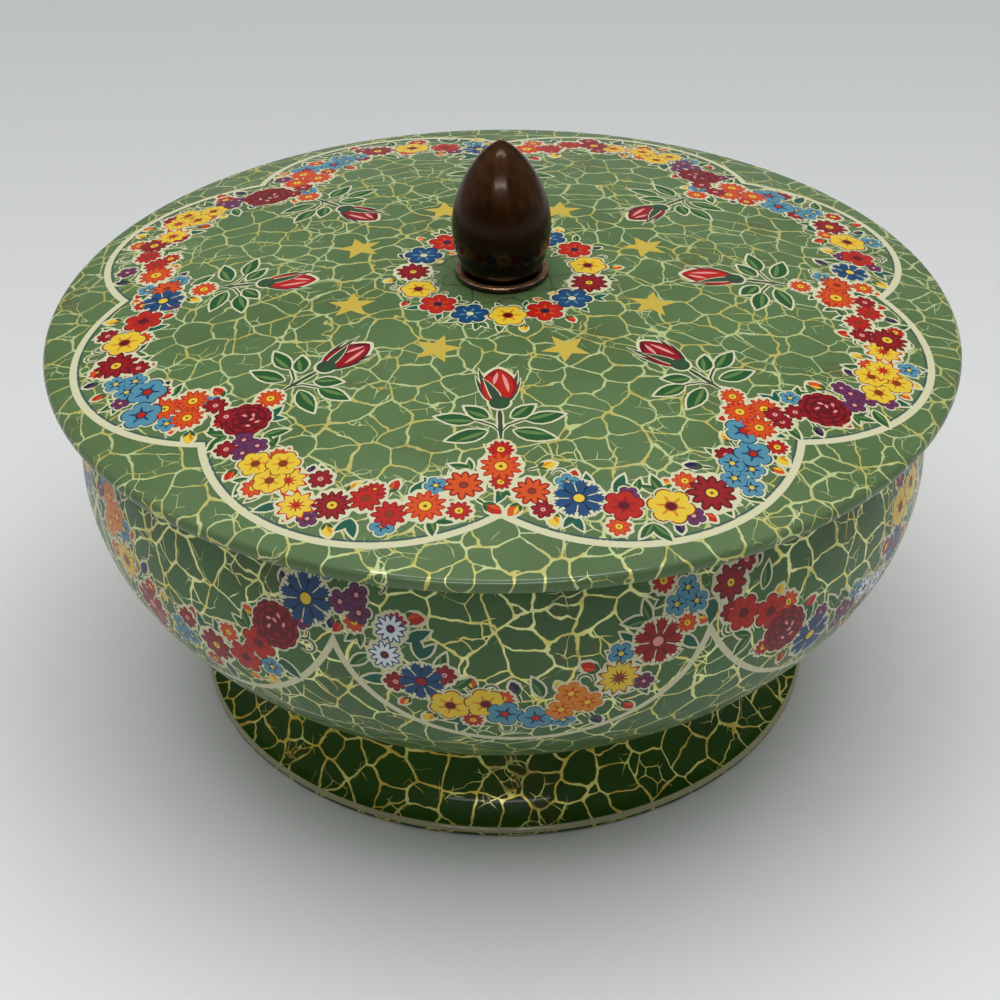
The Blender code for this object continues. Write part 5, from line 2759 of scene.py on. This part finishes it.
@dataclass
class Studio:
    """The pale sheet, the soft light and the camera.

    Attributes:
        lens: The camera's focal length, in millimetres on a 36 mm sensor.
        place: Where the camera stands, in metres.
        tilt: How far it is turned up from straight down, in degrees.
        roll: How far it leans, in degrees.
        shift: Its sideways shift.
        sweep_start: How far behind the tin the sheet begins to rise, in metres.
        sweep: The radius of its rise.
        reach: How far the sheet goes to each side, to the front and up.
        lamps: The lamps.
    """

    lens: float = 72.18
    place: tuple[float, float, float] = (0.0, -0.3945, 0.3079)
    tilt: float = 55.8
    roll: float = -0.46
    shift: float = -0.0037
    sweep_start: float = 1.6
    sweep: float = 0.8
    reach: float = 3.0
    lamps: tuple[Lamp, ...] = (
        Lamp("overhead", (2.6, 2.2), 40.5, (0.0, 0.25, 1.9)),
        Lamp("front_fill", (1.0, 0.6), 0.2, (0.1, -1.1, 0.9)),
        Lamp("ceiling_strip", (0.9, 0.09), 7.0, (0.0, -0.3, 1.25), LampRole.GLINT),
        Lamp("window_strip", (0.8, 0.1), 7.0, (-0.05, -1.05, 0.9), LampRole.GLINT),
    )

    def build_floor(self) -> None:
        """Builds a wide sheet that sweeps up far behind the tin."""
        rows = [(-self.reach, 0.0), (self.sweep_start, 0.0)]
        for turn in (math.pi / 2 * step / 12 for step in range(1, 13)):
            y = self.sweep_start + self.sweep * math.sin(turn)
            rows.append((y, self.sweep - self.sweep * math.cos(turn)))
        rows.append((self.sweep_start + self.sweep, self.reach))
        points = [(x, y, z) for y, z in rows for x in (-self.reach, self.reach)]
        faces = [(2 * i, 2 * i + 1, 2 * i + 3, 2 * i + 2) for i in range(len(rows) - 1)]
        mesh = bpy.data.meshes.new("studio_sheet")
        mesh.from_pydata(points, [], faces)
        mesh.polygons.foreach_set("use_smooth", [True] * len(faces))
        mesh.materials.append(StudioPaper("studio_paper", linear(224, 225, 224), 0.9).material())
        shown("studio_sheet", mesh)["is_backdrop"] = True

    def build_light(self) -> None:
        """Sets a pale surround, darker where the photographer stands, and the lamps."""
        scene = bpy.context.scene
        scene.world = scene.world or bpy.data.worlds.new("studio")
        scene.world.use_nodes = True
        bench = NodeBench(scene.world.node_tree)
        _, ahead, up = bench.split(bench.put("ShaderNodeTexCoord").outputs["Generated"])
        back = scene.world.node_tree.nodes["Background"]
        bench.feed(back.inputs["Color"], (0.97, 0.985, 1.0, 1.0))
        overhead = bench.ramp(up, 0.0, 0.9, 0.4, 0.6)
        strength = bench.times(overhead, bench.ramp(ahead, -0.75, -0.1, 0.3, 1.0))
        bench.feed(back.inputs["Strength"], strength)
        for lamp in self.lamps:
            lamp.hang()

    def build_camera(self) -> None:
        """Stands the camera where the photograph was taken from."""
        camera = bpy.data.cameras.new("view_camera")
        camera.lens, camera.sensor_width = self.lens, 36.0
        camera.shift_x = self.shift
        camera.clip_start, camera.clip_end = 0.01, 20.0
        tilt = Matrix.Rotation(math.radians(self.tilt), 4, "X")
        roll = Matrix.Rotation(math.radians(self.roll), 4, "Z")
        made = shown("view_camera", camera)
        made.matrix_world = Matrix.Translation(self.place) @ (tilt @ roll)
        bpy.context.scene.camera = made

    def settle(self) -> None:
        """Sets how the picture's colours are shown."""
        bpy.context.scene.view_settings.view_transform = "Standard"


def measure() -> None:
    """Works out the CAD model's box and the dressed model's box, in metres, but keeps neither.
    """
    boxes = {"cad": cad_box, "visual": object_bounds()}
    sizes = {name: [list(low), list(high)] for name, (low, high) in boxes.items()}


def main() -> None:
    """Builds the camera, the tin's sub-assemblies and the studio, in that order."""
    logging.basicConfig(level=logging.INFO, format="%(name)s %(message)s")
    studio = Studio()
    studio.build_camera()
    lid = Lid()
    for part in (Bowl(), Foot(), lid, Knob(seat=lid.seat_top(), bore=lid.bore)):
        part.build()
        log.info("%s: %d pieces built", type(part).__name__, len(part.pieces))
    studio.build_floor()
    studio.build_light()
    studio.settle()
    measure()


if __name__ == "__main__":
    main()
